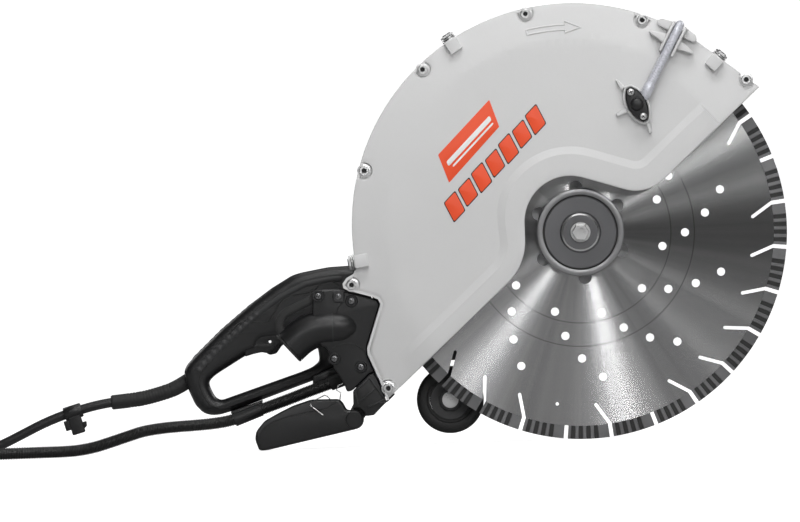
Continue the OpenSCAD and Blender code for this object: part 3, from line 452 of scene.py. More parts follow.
def turned(profile, steps=48, closed=True):
    """A body turned about Y from points (radius, y)."""
    corners, rings = [], []
    for r, y in profile:
        if r < 1e-6:
            rings.append([len(corners)] * steps)
            corners.append((0, y, 0))
        else:
            rings.append(list(range(len(corners), len(corners) + steps)))
            corners += [(r * math.cos(2 * math.pi * i / steps), y, r * math.sin(2 * math.pi * i / steps))
                        for i in range(steps)]
    faces = []
    pairs = list(zip(rings, rings[1:])) + ([(rings[-1], rings[0])] if closed else [])
    for a, b in pairs:
        for i in range(steps):
            k = (i + 1) % steps
            face = []
            for corner in (a[i], a[k], b[k], b[i]):
                if corner not in face:
                    face.append(corner)
            if len(face) > 2:
                faces.append(tuple(face))
    return corners, faces


def slab(loops, y0, y1, bevel=1.0, steps=2):
    """Flat outlines, the first one outside and the others holes, thick from y0 to y1 with round edges."""
    data = bpy.data.curves.new("outline", "CURVE")
    data.dimensions = "2D"
    data.fill_mode = "BOTH"
    bevel = min(bevel, (y1 - y0) / 2 - 0.01)
    data.extrude = (y1 - y0) / 2 - bevel
    data.bevel_depth = bevel
    data.bevel_resolution = steps
    data.offset = -bevel
    for loop in loops:
        spline = data.splines.new("POLY")
        spline.points.add(len(loop) - 1)
        for point, p in zip(spline.points, loop):
            point.co = (p[0], p[1], 0, 1)
        spline.use_cyclic_u = True
    holder = bpy.data.objects.new("outline", data)
    mesh = bpy.data.meshes.new_from_object(holder)
    turn = Matrix.Translation((0, (y0 + y1) / 2, 0)) @ rotated("X", 90)
    shape = ([tuple(turn @ v.co) for v in mesh.vertices], [tuple(p.vertices) for p in mesh.polygons])
    bpy.data.objects.remove(holder)
    bpy.data.curves.remove(data)
    bpy.data.meshes.remove(mesh)
    return shape


def plate(outline, corner_r, y0, y1, bevel=1.0, steps=2):
    """A slab with rounded corners in its outline."""
    return slab([rounded(outline, corner_r)], y0, y1, bevel, steps)


def block(x0, x1, y0, y1, z0, z1, bevel=1.0):
    return slab([[(x0, z0), (x1, z0), (x1, z1), (x0, z1)]], y0, y1, bevel)


def smooth_route(points, per_span=6):
    """Catmull-Rom curve through the points."""
    p = [Vector(q) for q in points]
    out = []
    for i in range(len(p) - 1):
        a, b, c, d = p[max(i - 1, 0)], p[i], p[i + 1], p[min(i + 2, len(p) - 1)]
        for k in range(per_span):
            t = k / per_span
            out.append(0.5 * (2 * b + (c - a) * t + (2 * a - 5 * b + 4 * c - d) * t * t
                              + (3 * b - a - 3 * c + d) * t ** 3))
    return out + [p[-1]]


def resampled(points, step):
    """The same line with points at an even spacing."""
    total = sum((b - a).length for a, b in zip(points, points[1:]))
    count = max(2, round(total / step))
    out, gone, target, i = [points[0]], 0.0, total / count, 0
    for n in range(1, count):
        want = n * target
        while gone + (points[i + 1] - points[i]).length < want:
            gone += (points[i + 1] - points[i]).length
            i += 1
        span = (points[i + 1] - points[i]).length
        out.append(points[i].lerp(points[i + 1], (want - gone) / span))
    return out + [points[-1]]


def swept(route, radius, sides=16, squeeze=1.0):
    """A tube along the route. radius is a number or a function of the share of the way along."""
    corners, faces = [], []
    last = len(route) - 1
    side = None
    for i, p in enumerate(route):
        along = (route[min(i + 1, last)] - route[max(i - 1, 0)]).normalized()
        if side is None:
            side = along.cross(Vector((0, 0, 1)) if abs(along.z) < 0.9 else Vector((0, 1, 0)))
        side = (side - along * side.dot(along)).normalized()
        up = side.cross(along)
        r = radius(i / last) if callable(radius) else radius
        for k in range(sides):
            a = 2 * math.pi * k / sides
            corners.append(tuple(p + side * (r * math.cos(a)) + up * (r * squeeze * math.sin(a))))
    for i in range(last):
        for k in range(sides):
            n = (k + 1) % sides
            faces.append((i * sides + k, (i + 1) * sides + k, (i + 1) * sides + n, i * sides + n))
    faces.append(tuple(range(sides)))
    faces.append(tuple(last * sides + k for k in reversed(range(sides))))
    return corners, faces


class Piece:
    """Gathers shapes into one object, with a material for each."""

    def __init__(self, name, body, replaces=(), slot=None, space=TO_PART):
        self.name, self.body, self.nodes, self.slot, self.space = name, body, replaces, slot, space
        self.corners, self.faces, self.mats, self.index = [], [], [], []

    def add(self, shape, material):
        if material not in self.mats:
            self.mats.append(material)
        faces = shape[1]
        start = len(self.corners)
        self.corners += shape[0]
        self.faces += [tuple(i + start for i in face) for face in faces]
        self.index += [self.mats.index(material)] * len(faces)
        return self

    def done(self, angle=35, ride=True):
        mesh = bpy.data.meshes.new(self.name)
        mesh.from_pydata([tuple(self.space @ Vector(c)) for c in self.corners], [], self.faces)
        for material in self.mats:
            mesh.materials.append(material)
        mesh.polygons.foreach_set("material_index", self.index)
        build = bmesh.new()
        build.from_mesh(mesh)
        bmesh.ops.remove_doubles(build, verts=build.verts, dist=0.000002)
        bmesh.ops.recalc_face_normals(build, faces=build.faces)
        build.to_mesh(mesh)
        build.free()
        mesh.shade_smooth()
        mesh.set_sharp_from_angle(angle=math.radians(angle))
        obj = bpy.data.objects.new(self.name, mesh)
        bpy.context.scene.collection.objects.link(obj)
        if ride:
            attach(obj, self.body)
        if self.nodes:
            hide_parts(*self.nodes)
        return obj


def to_place(p, y=0, turn=0):
    """A matrix that puts a shape drawn about the Y axis at the point (x, z), turned about Y."""
    return Matrix.Translation((p[0], y, p[1])) @ rotated("Y", -turn)


# ---------------------------------------------------------------- outlines of the guard
rim_c, rim_r = (-7.5, 8.4), 216.6
tip, edge_slope = (180.4, 136.0), 42
low_corner = (-187.5, -150.2)
recess_c, recess_r = (-9.5, 10.5), 45
left_c, left_r = (-111.5, -5), 57
right_c, right_r = (56.7, 78.5), 40
front_y, split_y = -27, -9
to_right = Vector(right_c) - Vector(recess_c)
s_turn = (math.degrees(math.atan2(to_right.y, to_right.x))
          + math.degrees(math.acos((recess_r + right_r) / to_right.length)))
to_tip = Vector(tip) - Vector(rim_c)
rim_start = (math.degrees(math.atan2(to_tip.y, to_tip.x))
             + math.degrees(math.acos(rim_r / to_tip.length)))
rear_edge = [(-224.5, -33), (-231, -36.5), (-235, -42), (-234.3, -46.3), (-229.4, -49), (-206, -56),
             (-201, -58.5), (-198.5, -63), (-200, -67.5), (-213.2, -106), (-212.8, -112), (-199, -146),
             (-195.7, -158)]


def lower_edge(inset):
    """The guard's lower edge, moved into the guard by inset."""
    n, straight = 14, 18
    a = math.radians(edge_slope)
    nx, nz = -math.sin(a) * inset, math.cos(a) * inset
    low, high = (low_corner[0] + nx, low_corner[1] + nz), (tip[0] + nx, tip[1] + nz)
    middle = (arc(left_c, left_r - inset, edge_slope - 90, 0, n)
              + arc(recess_c, recess_r + inset, 180, s_turn, n + 6)
              + arc(right_c, right_r - inset, s_turn + 180, edge_slope + 270, n))
    return stepped(low, middle[0], straight) + middle + stepped(high, middle[-1], straight)[::-1]


def stepped(a, b, count):
    """Points along a straight line from a towards b, which is left out."""
    return [tuple(Vector(a).lerp(Vector(b), i / count)) for i in range(count)]


guard_outline = arc(rim_c, rim_r, rim_start, 189.5, 90) + rear_edge + lower_edge(0)
screw_places = ([(167.7, 143.6)] + [polar(rim_c, 211, 37.6 + i * 31.5) for i in range(1, 5)]
                + [(-226.2, -43.5), (-194, -146)])
rim_clip_angles = [46.7, 121.7, 187.8]


def distance_to(path, p):
    best = 1e9
    for a, b in zip(path, path[1:]):
        a, b = Vector(a), Vector(b)
        t = max(0.0, min(1.0, (p - a).dot(b - a) / (b - a).length_squared))
        best = min(best, (p - a.lerp(b, t)).length)
    return best


def inside(loop, p):
    hit = False
    for (x0, z0), (x1, z1) in zip(loop, loop[1:] + loop[:1]):
        if (z0 > p[1]) != (z1 > p[1]) and p[0] < (x1 - x0) * (p[1] - z0) / (z1 - z0) + x0:
            hit = not hit
    return hit


def beside(path, inset):
    """The open line of points moved to its right by inset."""
    out = []
    for i, p in enumerate(path):
        along = Vector(path[min(i + 1, len(path) - 1)]) - Vector(path[max(i - 1, 0)])
        along.normalize()
        out.append((p[0] - along.y * inset, p[1] + along.x * inset))
    return out


EDGE_PATH = lower_edge(0)
REAR_PATH, REAR_BEVEL = rear_edge[4:], 6.0
EDGE_ROUND = 1.3
STRIP_RISE, STRIP_IN, STRIP_OUT = 2.4, 21.5, 29.0
STRIP_SHIFT, SHIFT_TOP, SHIFT_LOW = 5.0, 40.0, -16.0
MARGIN_R, MARGIN_SLOPE = 182.0, 0.15
END_LINE = (Vector((125.7, 115.5)), Vector(polar((0, 0), 1, edge_slope)))
LOW_LINE = Vector((-176, -105.2))


def strip_shift(z):
    """How much nearer to the edge the strip lies at a height: its lower stretch is the nearer one."""
    return STRIP_SHIFT * max(0.0, min(1.0, (SHIFT_TOP - z) / (SHIFT_TOP - SHIFT_LOW)))


def strip_line(inset):
    """One of the strip's two creases."""
    return [tuple(Vector(a).lerp(Vector(b), strip_shift(a[1]) / STRIP_SHIFT))
            for a, b in zip(lower_edge(inset), lower_edge(inset - STRIP_SHIFT))]


def guard_face_y(p):
    """Depth of the guard's face: flat, sloping back near the rim, with a raised strip by the lower edge."""
    past_end = (p - END_LINE[0]).dot(END_LINE[1])
    radius = (p - Vector(rim_c)).length
    slope = max(0.0, radius - MARGIN_R, past_end - 1.0)
    strip_out = STRIP_OUT - strip_shift(p.y)
    strip = max(0.0, min(1.0, (strip_out - distance_to(EDGE_PATH, p)) / (STRIP_OUT - STRIP_IN)))
    strip *= max(0.0, min(1.0, 1.0 - past_end / 1.5))
    strip *= max(0.0, min(1.0, (p - LOW_LINE).dot(END_LINE[1]) / 22 + 0.6))
    rounding = max(0.0, 1.0 - distance_to(REAR_PATH, p) / REAR_BEVEL)
    return front_y + MARGIN_SLOPE * slope - STRIP_RISE * strip + 3.6 * rounding ** 2


def guard_face():
    """The guard's face as a fine net of triangles that follows its creases."""
    pocket_r = 8.3
    holes = [circle(p, pocket_r + EDGE_ROUND, 32) for p in screw_places]
    corners, edges = [], []

    def line(points, closed):
        start = len(corners)
        corners.extend(Vector(p) for p in points)
        edges.extend((start + i, start + i + 1) for i in range(len(points) - 1))
        if closed:
            edges.append((start + len(points) - 1, start))

    line(grown(guard_outline, -EDGE_ROUND), True)
    for hole in holes:
        line(hole, True)
    line(arc(rim_c, MARGIN_R, 42, 205, 60), False)
    for inset in (STRIP_IN, STRIP_OUT):
        line(strip_line(inset), False)
    for inset in (2.0, 4.0, REAR_BEVEL):
        line(beside(REAR_PATH, inset), False)
    side = Vector((-END_LINE[1].y, END_LINE[1].x))
    for push in (0, 1.5):
        start = END_LINE[0] + END_LINE[1] * push
        line([start - side * 26, start + side * 40], False)
    step = 9
    for i in range(-27, 23):
        for k in range(-18, 26):
            p = Vector((i * step + 0.37, k * step + 0.21))
            if inside(guard_outline, p) and distance_to(guard_outline, p) > 4:
                corners.append(p)
    inner_outline = grown(guard_outline, -EDGE_ROUND)
    net = delaunay_2d_cdt(corners, edges, [], 0, 0.02)
    points, triangles = net[0], net[2]
    kept = []
    for t in triangles:
        middle = sum((points[i] for i in t), Vector((0, 0))) / 3
        in_pocket = any((middle - Vector(s)).length < pocket_r + EDGE_ROUND * 0.97 for s in screw_places)
        if inside(inner_outline, middle) and not in_pocket:
            kept.append(tuple(t))
    return points, kept


def guard_shell():
    """The face with its thickness: a front skin, a round edge along each border, and an inner skin."""
    points, triangles = guard_face()
    corners = [(p.x, guard_face_y(p), p.y) for p in points]
    faces = list(triangles)
    sides = {(t[i], t[(i + 1) % 3]) for t in triangles for i in range(3)}
    border = [side for side in sides if side[::-1] not in sides]
    outward = {}
    for a, b in border:
        along = (points[b] - points[a]).normalized()
        for i in (a, b):
            outward.setdefault(i, []).append(Vector((along.y, -along.x)))
    rows = [{i: i for i in outward}]
    for turn, drop in ((30, 0), (60, 0), (90, 0), (90, 2.2)):
        row, t = {}, math.radians(turn)
        for i, normals in outward.items():
            normal = sum(normals, Vector((0, 0))).normalized()
            normal /= max(0.6, normal.dot(normals[0]))
            p = points[i] + normal * (EDGE_ROUND * math.sin(t))
            row[i] = len(corners)
            corners.append((p.x, corners[i][1] + EDGE_ROUND * (1 - math.cos(t)) + drop, p.y))
        rows.append(row)
    for upper, lower in zip(rows, rows[1:]):
        faces += [(upper[a], upper[b], lower[b], lower[a]) for a, b in border]
    start = len(corners)
    corners += [(x, y + 3.2, z) for x, y, z in corners[:len(points)]]
    faces += [tuple(i + start for i in reversed(t)) for t in triangles]
    return corners, faces


def wall(path, y0, y1, thick):
    """An upright wall along a line of points (x, z), its outer side on the line."""
    count = len(path)
    corners, faces = [], []
    for i, p in enumerate(path):
        a = Vector(path[max(i - 1, 0)])
        b = Vector(path[min(i + 1, count - 1)])
        along = (b - a).normalized()
        inner = Vector(p) + Vector((-along.y, along.x)) * thick
        corners += [(p[0], y0, p[1]), (p[0], y1, p[1]), (inner.x, y1, inner.y), (inner.x, y0, inner.y)]
    for i in range(count - 1):
        for k in range(4):
            n = (k + 1) % 4
            faces.append((4 * i + k, 4 * i + n, 4 * i + 4 + n, 4 * i + 4 + k))
    faces += [(0, 1, 2, 3), tuple(4 * (count - 1) + k for k in (3, 2, 1, 0))]
    return corners, faces


def at_rim(angle):
    """A place on the rim: local Z points out of it and local Y away from the front."""
    p, y = polar(rim_c, rim_r, angle), -16
    return Matrix.Translation((p[0], y, p[1])) @ rotated("Y", 90 - angle)


# ---------------------------------------------------------------- guard pieces
def screw_head():
    """A cap screw seen from the front, its washer behind it, facing -Y from y = 0."""
    r, socket, top = 5.0, 2.4, -4.6
    washer = turned([(r * 0.5, 0), (r * 1.34, 0), (r * 1.34, -1.0), (r * 1.2, -1.3), (r * 0.5, -1.3)], 32)
    head = turned([(socket, top), (socket + 0.3, top - 0.3), (r - 0.9, top - 0.3), (r, top + 0.6), (r, -1.2),
                   (0.01, -1.2), (0.01, top + 2.6), (socket * 0.9, top + 2.4)], 32)
    return joined(washer, head)


def cross_screw(r=3.2):
    """A small domed screw with a cross recess, facing -Y from y = 0."""
    dome = turned([(0, -1.9), (r * 0.5, -1.75), (r * 0.85, -1.2), (r, -0.3), (r, 0.6), (0, 0.6)], 24, False)
    # The cross recess is two thin bars standing proud of the dome; where used they are near-black, as painted
    # shade.
    cuts = [block(-r * 0.62, r * 0.62, -2.02, -1.5, -0.42, 0.42, 0.1)]
    cuts.append(moved(cuts[0], rotated("Y", 90)))
    return dome, joined(*cuts)


def guard_front():
    piece = Piece("guard_front_cover", "saw_body", ["front_guard"], "guard_light")
    piece.add(guard_shell(), GUARD)
    rim_path = arc(rim_c, rim_r - 0.05, rim_start, 189.5, 120)
    piece.add(wall(rim_path, -21.5, split_y - 0.4, 3), GUARD)
    piece.add(wall(rear_edge, -23, split_y - 0.4, 2.6), GUARD)
    for p in screw_places:
        piece.add(screw_cup(p), GUARD)
    for angle in rim_clip_angles:
        pad = moved(plate([(-6.5, -13), (6.5, -13), (6.5, 0.6), (-6.5, 0.6)], 1.2, -14, 6.5, 0.9),
                    at_rim(angle))
        piece.add(pad, GUARD)
    crease_strip(piece.done(30).data)


def crease_strip(mesh):
    """Keeps the strip's two creases crisp, though they are shallow."""
    to_mm = TO_PART.inverted()
    places = [to_mm @ v.co for v in mesh.vertices]
    for inset in (STRIP_IN, STRIP_OUT):
        path = strip_line(inset)
        on_line = [distance_to(path, Vector((p.x, p.z))) < 0.15 for p in places]
        for edge in mesh.edges:
            if on_line[edge.vertices[0]] and on_line[edge.vertices[1]]:
                edge.use_edge_sharp = True


def screw_cup(p):
    """The pocket of a cover screw. Where it runs out of the guard's edge it is open."""
    pocket_r, floor_y = 8.3, -19.6
    corners, faces, last = [], [], None
    for k in range(49):
        a = 7.5 * k
        if not inside(guard_outline, polar(p, pocket_r + 1.4, a)):
            last = None
            continue
        top = guard_face_y(Vector(polar(p, pocket_r + 1.0, a))) + 0.25
        start = len(corners)
        outer_r = pocket_r + 1.8
        for r, y in ((pocket_r, top), (pocket_r - 0.7, floor_y), (outer_r, floor_y), (outer_r, top)):
            q = polar(p, r, a)
            corners.append((q[0], y, q[1]))
        if last is not None:
            faces += [(last + j, last + (j + 1) % 4, start + (j + 1) % 4, start + j) for j in range(4)]
        last = start
    floor = []
    for k in range(40):
        r = pocket_r + 0.6
        while not inside(guard_outline, polar(p, r + 0.4, 9 * k)):
            r -= 0.3
        floor.append(polar(p, r, 9 * k))
    return joined((corners, faces), slab([floor], floor_y, floor_y + 2.2, 0.2))


def cover_screws():
    piece = Piece("cover_cap_screws", "saw_body", ["cover_screws"], "zinc")
    for i, p in enumerate(screw_places):
        piece.add(moved(screw_head(), to_place(p, -19.4, 17 * i)), ZINC)
        # The near-black hex in each head is painted shade in the screw's socket.
        piece.add(moved(turned([(0, -21.6), (2.5, -21.6), (2.5, -19), (0, -19)], 6), to_place(p, 0)), GROOVE)
    return piece.done()


def rim_clips():
    piece = Piece("rim_clip_bolts", "saw_body", ["rim_bolts"], "dark_steel")
    for angle in rim_clip_angles:
        place = at_rim(angle) @ flip()
        for r, low, high, sides in ((7.5, 0.2, 1.5, 36), (6.0, 1.5, 2.1, 28), (7.2, 2.1, 3.3, 36),
                                    (5.6, 3.3, 3.9, 28), (6.9, 3.9, 6.2, 6), (4.6, 6.2, 7.1, 28)):
            ring = [(0, -low), (r - 0.3, -low), (r, -low - 0.3), (r, -high + 0.3), (r - 0.3, -high),
                    (0, -high)]
            piece.add(moved(turned(ring, sides, False), place), DARK_STEEL if r < 6.5 else ZINC)
    return piece.done()


def flip():
    """Turns a shape that faces -Y so that it faces +Z."""
    return rotated("X", -90)


def label():
    """Blank printed panels: a slanted orange one with a pale bar, and a row of orange lozenges."""
    piece = Piece("blank_label", "saw_body", ["label_panels"], "orange_panel")
    panel = [(-136.8, 80.9), (-127.0, 53.1), (-75.9, 106.2), (-84.8, 133.0)]
    piece.add(plate(panel, 1.0, front_y - 0.25, front_y + 0.3, 0.1), ORANGE)
    along = Vector((1, 1)).normalized()
    across = Vector((-along.y, along.x))

    def lozenge(centre, half_l, half_w):
        lean = 0.35
        corners = ((-half_l, -half_w), (half_l, -half_w), (half_l, half_w), (-half_l, half_w))
        return rounded([tuple(centre + along * (u + lean * v) + across * v) for u, v in corners], 2.0)

    stripe = Vector((-106.1, 93.3))
    piece.add(slab([lozenge(stripe, 31, 2.4)], front_y - 0.45, front_y, 0.1), PALE)
    piece.add(slab([lozenge(stripe + across * -5.4, 29, 0.9)], front_y - 0.45, front_y, 0.1), PALE)
    for i in range(7):
        centre = Vector((-122.5, 29.5)) + along * (19.4 * i)
        half_w = 9.5 if i % 2 else 10.5
        piece.add(slab([lozenge(centre, 8.4, half_w)], front_y - 0.2, front_y + 0.3, 0.1), GROOVE)
        piece.add(slab([lozenge(centre, 7.5, half_w - 0.9)], front_y - 0.4, front_y + 0.3, 0.1), ORANGE)
    return piece.done()


def turning_arrow():
    """The raised outline of an arrow that shows which way the blade turns."""
    turns = [101.5 - 0.75 * i for i in range(16)]
    end = turns[-1]
    head = [polar(rim_c, 199.0, end), polar(rim_c, 192.8, end - 4.6), polar(rim_c, 187.4, end)]
    loop = [polar(rim_c, 195.4, a) for a in turns] + head + [polar(rim_c, 190.4, a) for a in reversed(turns)]
    piece = Piece("turning_arrow", "saw_body", (), "guard_light")
    line = [Vector((p[0], guard_face_y(Vector(p)) - 0.15, p[1])) for p in loop + loop[:1]]
    piece.add(swept(line, 0.9, 8), GUARD)
    return piece.done()


guard_front()
cover_screws()
rim_clips()
label()
turning_arrow()


# ---------------------------------------------------------------- blade
def blade_segments():
    """Diamond segments, each with a plain block at one end and a row of grooves whose shallow bottoms are
    near-black, as painted shade.
    """
    piece = Piece("diamond_segments", "blade_set", ["blade_segments"], "diamond")
    count, first, pitch = 28, 6.7, 360 / 28
    inner, outer = 190.0, 203.0
    gap = math.degrees(1.9 / 196)
    for i in range(count):
        a1 = first + (i + 1) * pitch - gap
        a0 = first + i * pitch + gap
        stations = [(a0, 1.8, 0)]
        block_share, grooves = 0.25, 4
        start = a0
        end = a1 - (a1 - a0) * block_share
        width = (end - start) / grooves
        for g in range(grooves):
            base = start + g * width
            stations += [(base + 0.34 * width, 1.8, 0), (base + 0.40 * width, 1.25, 1),
                         (base + 0.92 * width, 1.25, 1), (base + 0.98 * width, 1.8, 0)]
        stations.append((a1, 1.8, 0))
        corners, bright, dark = [], [], []
        for a, half, _ in stations:
            for r, y in ((inner, -half), (outer, -half), (outer, half), (inner, half)):
                corners.append((r * math.cos(math.radians(a)), y, r * math.sin(math.radians(a))))
        for s in range(len(stations) - 1):
            sunk = stations[s][2] and stations[s + 1][2]
            for k in range(4):
                n = (k + 1) % 4
                (dark if sunk else bright).append((4 * s + k, 4 * s + n, 4 * s + 4 + n, 4 * s + 4 + k))
        last = 4 * (len(stations) - 1)
        bright += [(0, 1, 2, 3), (last + 3, last + 2, last + 1, last)]
        piece.add((corners, bright), DIAMOND)
        # The sunk groove faces get the near-black colour: painted shade.
        piece.add((corners, dark), GROOVE)
    return piece.done(25)


def flange_and_bolt():
    """The outer flange with its groove, the washer and the hex bolt."""
    piece = Piece("clamping_flange", "blade_set", ["outer_flange"], "dark_steel")
    piece.add(turned([(5.3, -7.6), (5.3, -11.5), (19.0, -11.5), (20.3, -10.4), (34.9, -10.4), (35.3, -10.1),
                      (35.5, -9.1), (35.5, -7.6)], 128), FLANGE_DISC)
    # A near-black ring in the flange's groove: painted shade.
    piece.add(turned([(35.3, -8.6), (35.3, -9.1), (36.9, -9.1), (36.9, -8.6)], 128), GROOVE)
    piece.add(turned([(13, -7.6), (36.9, -7.6), (36.9, -9.1), (37.1, -10.0), (37.5, -10.2), (41.6, -10.2),
                      (42.6, -9.8), (43.2, -9.0), (43.3, -8.0), (43.3, -1.5), (13, -1.5)], 128), FLANGE)
    piece.done(28)
    bolt = Piece("arbor_hex_bolt", "blade_set", ["arbor_bolt"], "zinc")
    bolt.add(turned([(16.9, -11.5), (18.0, -11.5), (18.5, -12), (18.5, -12.8), (16.9, -14)], 96), ZINC)
    bolt.add(turned([(5.1, -11.5), (17.0, -11.5), (17.0, -14), (5.1, -14)], 96), FLANGE_DISC)
    bolt.add(turned([(5.0, -14), (9.6, -14), (9.9, -14.4), (9.6, -15.5), (5.0, -15.5)], 64), ZINC)
    bolt.add(turned([(5.0, -21), (7.8, -21), (8.8, -20.3), (8.8, -15.5), (5.0, -15.5)], 6), ZINC)
    bolt.add(turned([(0, -17.5), (5.0, -17.5), (5.0, -20.9), (6.9, -20.95), (6.9, -15.6), (0, -15.6)], 48),
             ZINC)
    bolt.done(28)


blade_segments()
flange_and_bolt()

# ---------------------------------------------------------------- cords
# The routes are in the frame's own millimetres, z up from the floor.
relief_route = [(-294, 25, 71), (-296, 25, 70.4), (-304, 25, 66), (-313, 25, 62), (-327, 25, 58),
                (-341, 25, 55), (-356, 25, 53.3), (-372, 25, 52)]
cable_route = [(-372, 25, 52), (-386, 25, 49.8), (-400, 25, 46.6), (-420, 25, 41), (-440, 25, 33.5),
               (-460, 25, 24.2), (-480, 25, 15), (-500, 25, 8), (-520, 25, 5), (-540, 25, 4.8),
               (-560, 24.6, 4.8), (-580, 23.4, 4.8), (-595, 21.5, 4.8)]
plug_route = [(-620, 138.6, 4.8), (-606, 138.4, 4.8), (-592, 137.6, 5.6), (-578, 137, 9), (-566, 137, 12.2),
              (-556, 137, 13)]
hose_route = [(-144, -26, 66.7), (-160, -26, 61.7), (-178, -26, 55.8), (-195, -26, 49.8), (-215, -26, 43.2),
              (-235, -26, 36.6), (-253, -26, 31), (-270, -26, 28.4), (-288, -26, 27.2), (-305, -26, 26.5),
              (-322, -26, 25.4), (-340, -26, 23), (-356, -26, 18.6), (-372, -26, 13.8), (-388, -26, 9.4),
              (-404, -26, 6.8), (-420, -26, 6), (-445, -27, 6), (-470, -29, 6), (-495, -31, 6.4),
              (-520, -32, 9), (-545, -32, 12), (-560, -32, 13)]
CABLE_D, HOSE_D = 9.5, 12.0


def coil_turns():
    """Turns that lie beside and on each other, from the bottom outer one to the one above it."""
    centre, bottom = (-620, 77), 4.8
    rings = [62.2, 52.6, 43.0]
    layers = [bottom, bottom + 9.5, bottom + 19.0, bottom + 28.4]
    cells = [(0, 0), (1, 0), (2, 0), (2, 1), (1, 1), (1, 2), (2, 2), (2, 3), (1, 3), (0, 3), (0, 2), (0, 1),
             (0, 0)]
    # degrees round the coil: its start, its end, a change of cell, a whole lap and one with a corner
    first, last_turn, width, lap, corner_lap = 140, 3804.2, 26, 360, 332
    changes = [first]
    for k in range(1, 11):
        before = (cells[k][0] - cells[k - 1][0], cells[k][1] - cells[k - 1][1])
        after = (cells[k + 1][0] - cells[k][0], cells[k + 1][1] - cells[k][1])
        changes.append(changes[-1] + (lap if before == after else corner_lap))
    changes.append(last_turn - width / 2 - 8)
    points = []
    step = 12
    for n in range(1, int(last_turn / step)):
        t = n * step
        ring, layer = rings[0], layers[0]
        for k, change in enumerate(changes):
            share = max(0.0, min(1.0, (t - change) / width + 0.5))
            share = share * share * (3 - 2 * share)
            ring += (rings[cells[k + 1][0]] - rings[cells[k][0]]) * share
            layer += (layers[cells[k + 1][1]] - layers[cells[k][1]]) * share
        x, y = polar(centre, ring, -65.8 - t)
        points.append((x, y, layer))
    return points


def power_cord():
    """The mains cable, from inside its sleeve to its plug, with the spare length in a coil."""
    route = relief_route[1:] + cable_route[1:] + coil_turns() + plug_route
    points = [p * MM for p in smooth_route(route, 3)]
    data = bpy.data.curves.new("mains_cable", "CURVE")
    data.dimensions = "3D"
    data.bevel_depth = CABLE_D / 2 * MM
    data.bevel_resolution = 5
    data.use_fill_caps = True
    spline = data.splines.new("POLY")
    spline.points.add(len(points) - 1)
    for point, p in zip(spline.points, points):
        point.co = (*p, 1)
    spline.use_smooth = True
    data.materials.append(CABLE)
    cable = bpy.data.objects.new("mains_cable", data)
    bpy.context.scene.collection.objects.link(cable)
    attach(cable, "saw_body")
    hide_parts("cable_tube", "cable_coil")

    sleeve = Piece("cable_sleeve", "saw_body", ["strain_relief"], "black_rubber", PART_MM)
    line = resampled(smooth_route(relief_route, 8), 1.0)

    def ribbed(share):
        body = 7.45 - 0.25 * share
        if share > 0.985:
            body -= 1.2 * (share - 0.985) / 0.015
        groove = 0.35 if (share * 26) % 1 > 0.7 and 0.25 < share < 0.8 else 0
        return body - groove

    sleeve.add(swept(line, ribbed, 24), RUBBER)
    sleeve_piece = sleeve.done(40)

    cuff = Piece("hose_cuff", "saw_body")
    line = [Vector((-229, 21, -132.8)), Vector((-240, 21, -136.4)), Vector((-251, 21, -140.0))]
    cuff.add(swept(line, 6.9, 24),
             RUBBER)
    cuff.done()
    clip = Piece("cable_clip_body", "saw_body", ["cable_clip"], "black_plastic", PART_MM)
    slope = math.degrees(math.atan2(46.6 - 41, 20))
    frame_clip = Matrix.Translation((-410, 25, 43.8)) @ rotated("Y", -slope)
    ring = moved(turned([(5.2, -9), (6.4, -9), (7.0, -8), (7.0, 8), (6.4, 9), (5.2, 9)], 32),
                 frame_clip @ rotated("Z", 90))
    clip.add(ring, BLACK)
    for outline, corner_r, half, bevel in (([(-7, -22), (6, -22), (6, -4), (-7, -4)], 1.6, 6, 1.0),
                                           ([(-12, -16), (-6, -16), (-6, -6), (-12, -6)], 1.2, 5, 0.8),
                                           ([(5, -12), (10, -12), (9, -17), (5, -19)], 1.0, 4, 0.6)):
        clip.add(moved(plate(outline, corner_r, -half, half, bevel), frame_clip), BLACK)
    clip_piece = clip.done()

    plug = Piece("mains_plug", "saw_body", ["power_plug"], "black_rubber", PART_MM)
    place = Matrix.Translation((-556, 137, 13)) @ rotated("Z", -90)
    body = turned([(0, 0), (6.2, 0), (6.8, 1.5), (7.4, 6), (8.6, 12), (11.4, 18), (12.8, 21), (13, 23),
                   (13, 43), (12.6, 46), (11.4, 47.7), (10, 48), (0, 48)], 40, closed=False)
    plug.add(moved(body, place), RUBBER)
    for k in range(3):
        plug.add(moved(turned([(6, 3.4 + 3 * k), (8.0 + 0.5 * k, 3.7 + 3 * k), (8.2 + 0.5 * k, 5.2 + 3 * k),
                               (6, 5.5 + 3 * k)], 32), place), RUBBER)
    for k in range(5):
        start = 26 + 3 * k
        rib = turned([(12.4, start), (13.0, start + 0.4), (13.0, start + 1.6), (12.4, start + 2)], 32)
        plug.add(moved(rib, place), RUBBER)
    for s in (-1, 1):
        pin = turned([(0, 47.5), (2, 47.5), (2, 65.4), (1.5, 66.6), (0.8, 67), (0, 67)], 24, closed=False)
        plug.add(moved(pin, Matrix.Translation((0, 5 * s, 0)) @ place), BRASS)
    plug_piece = plug.done()


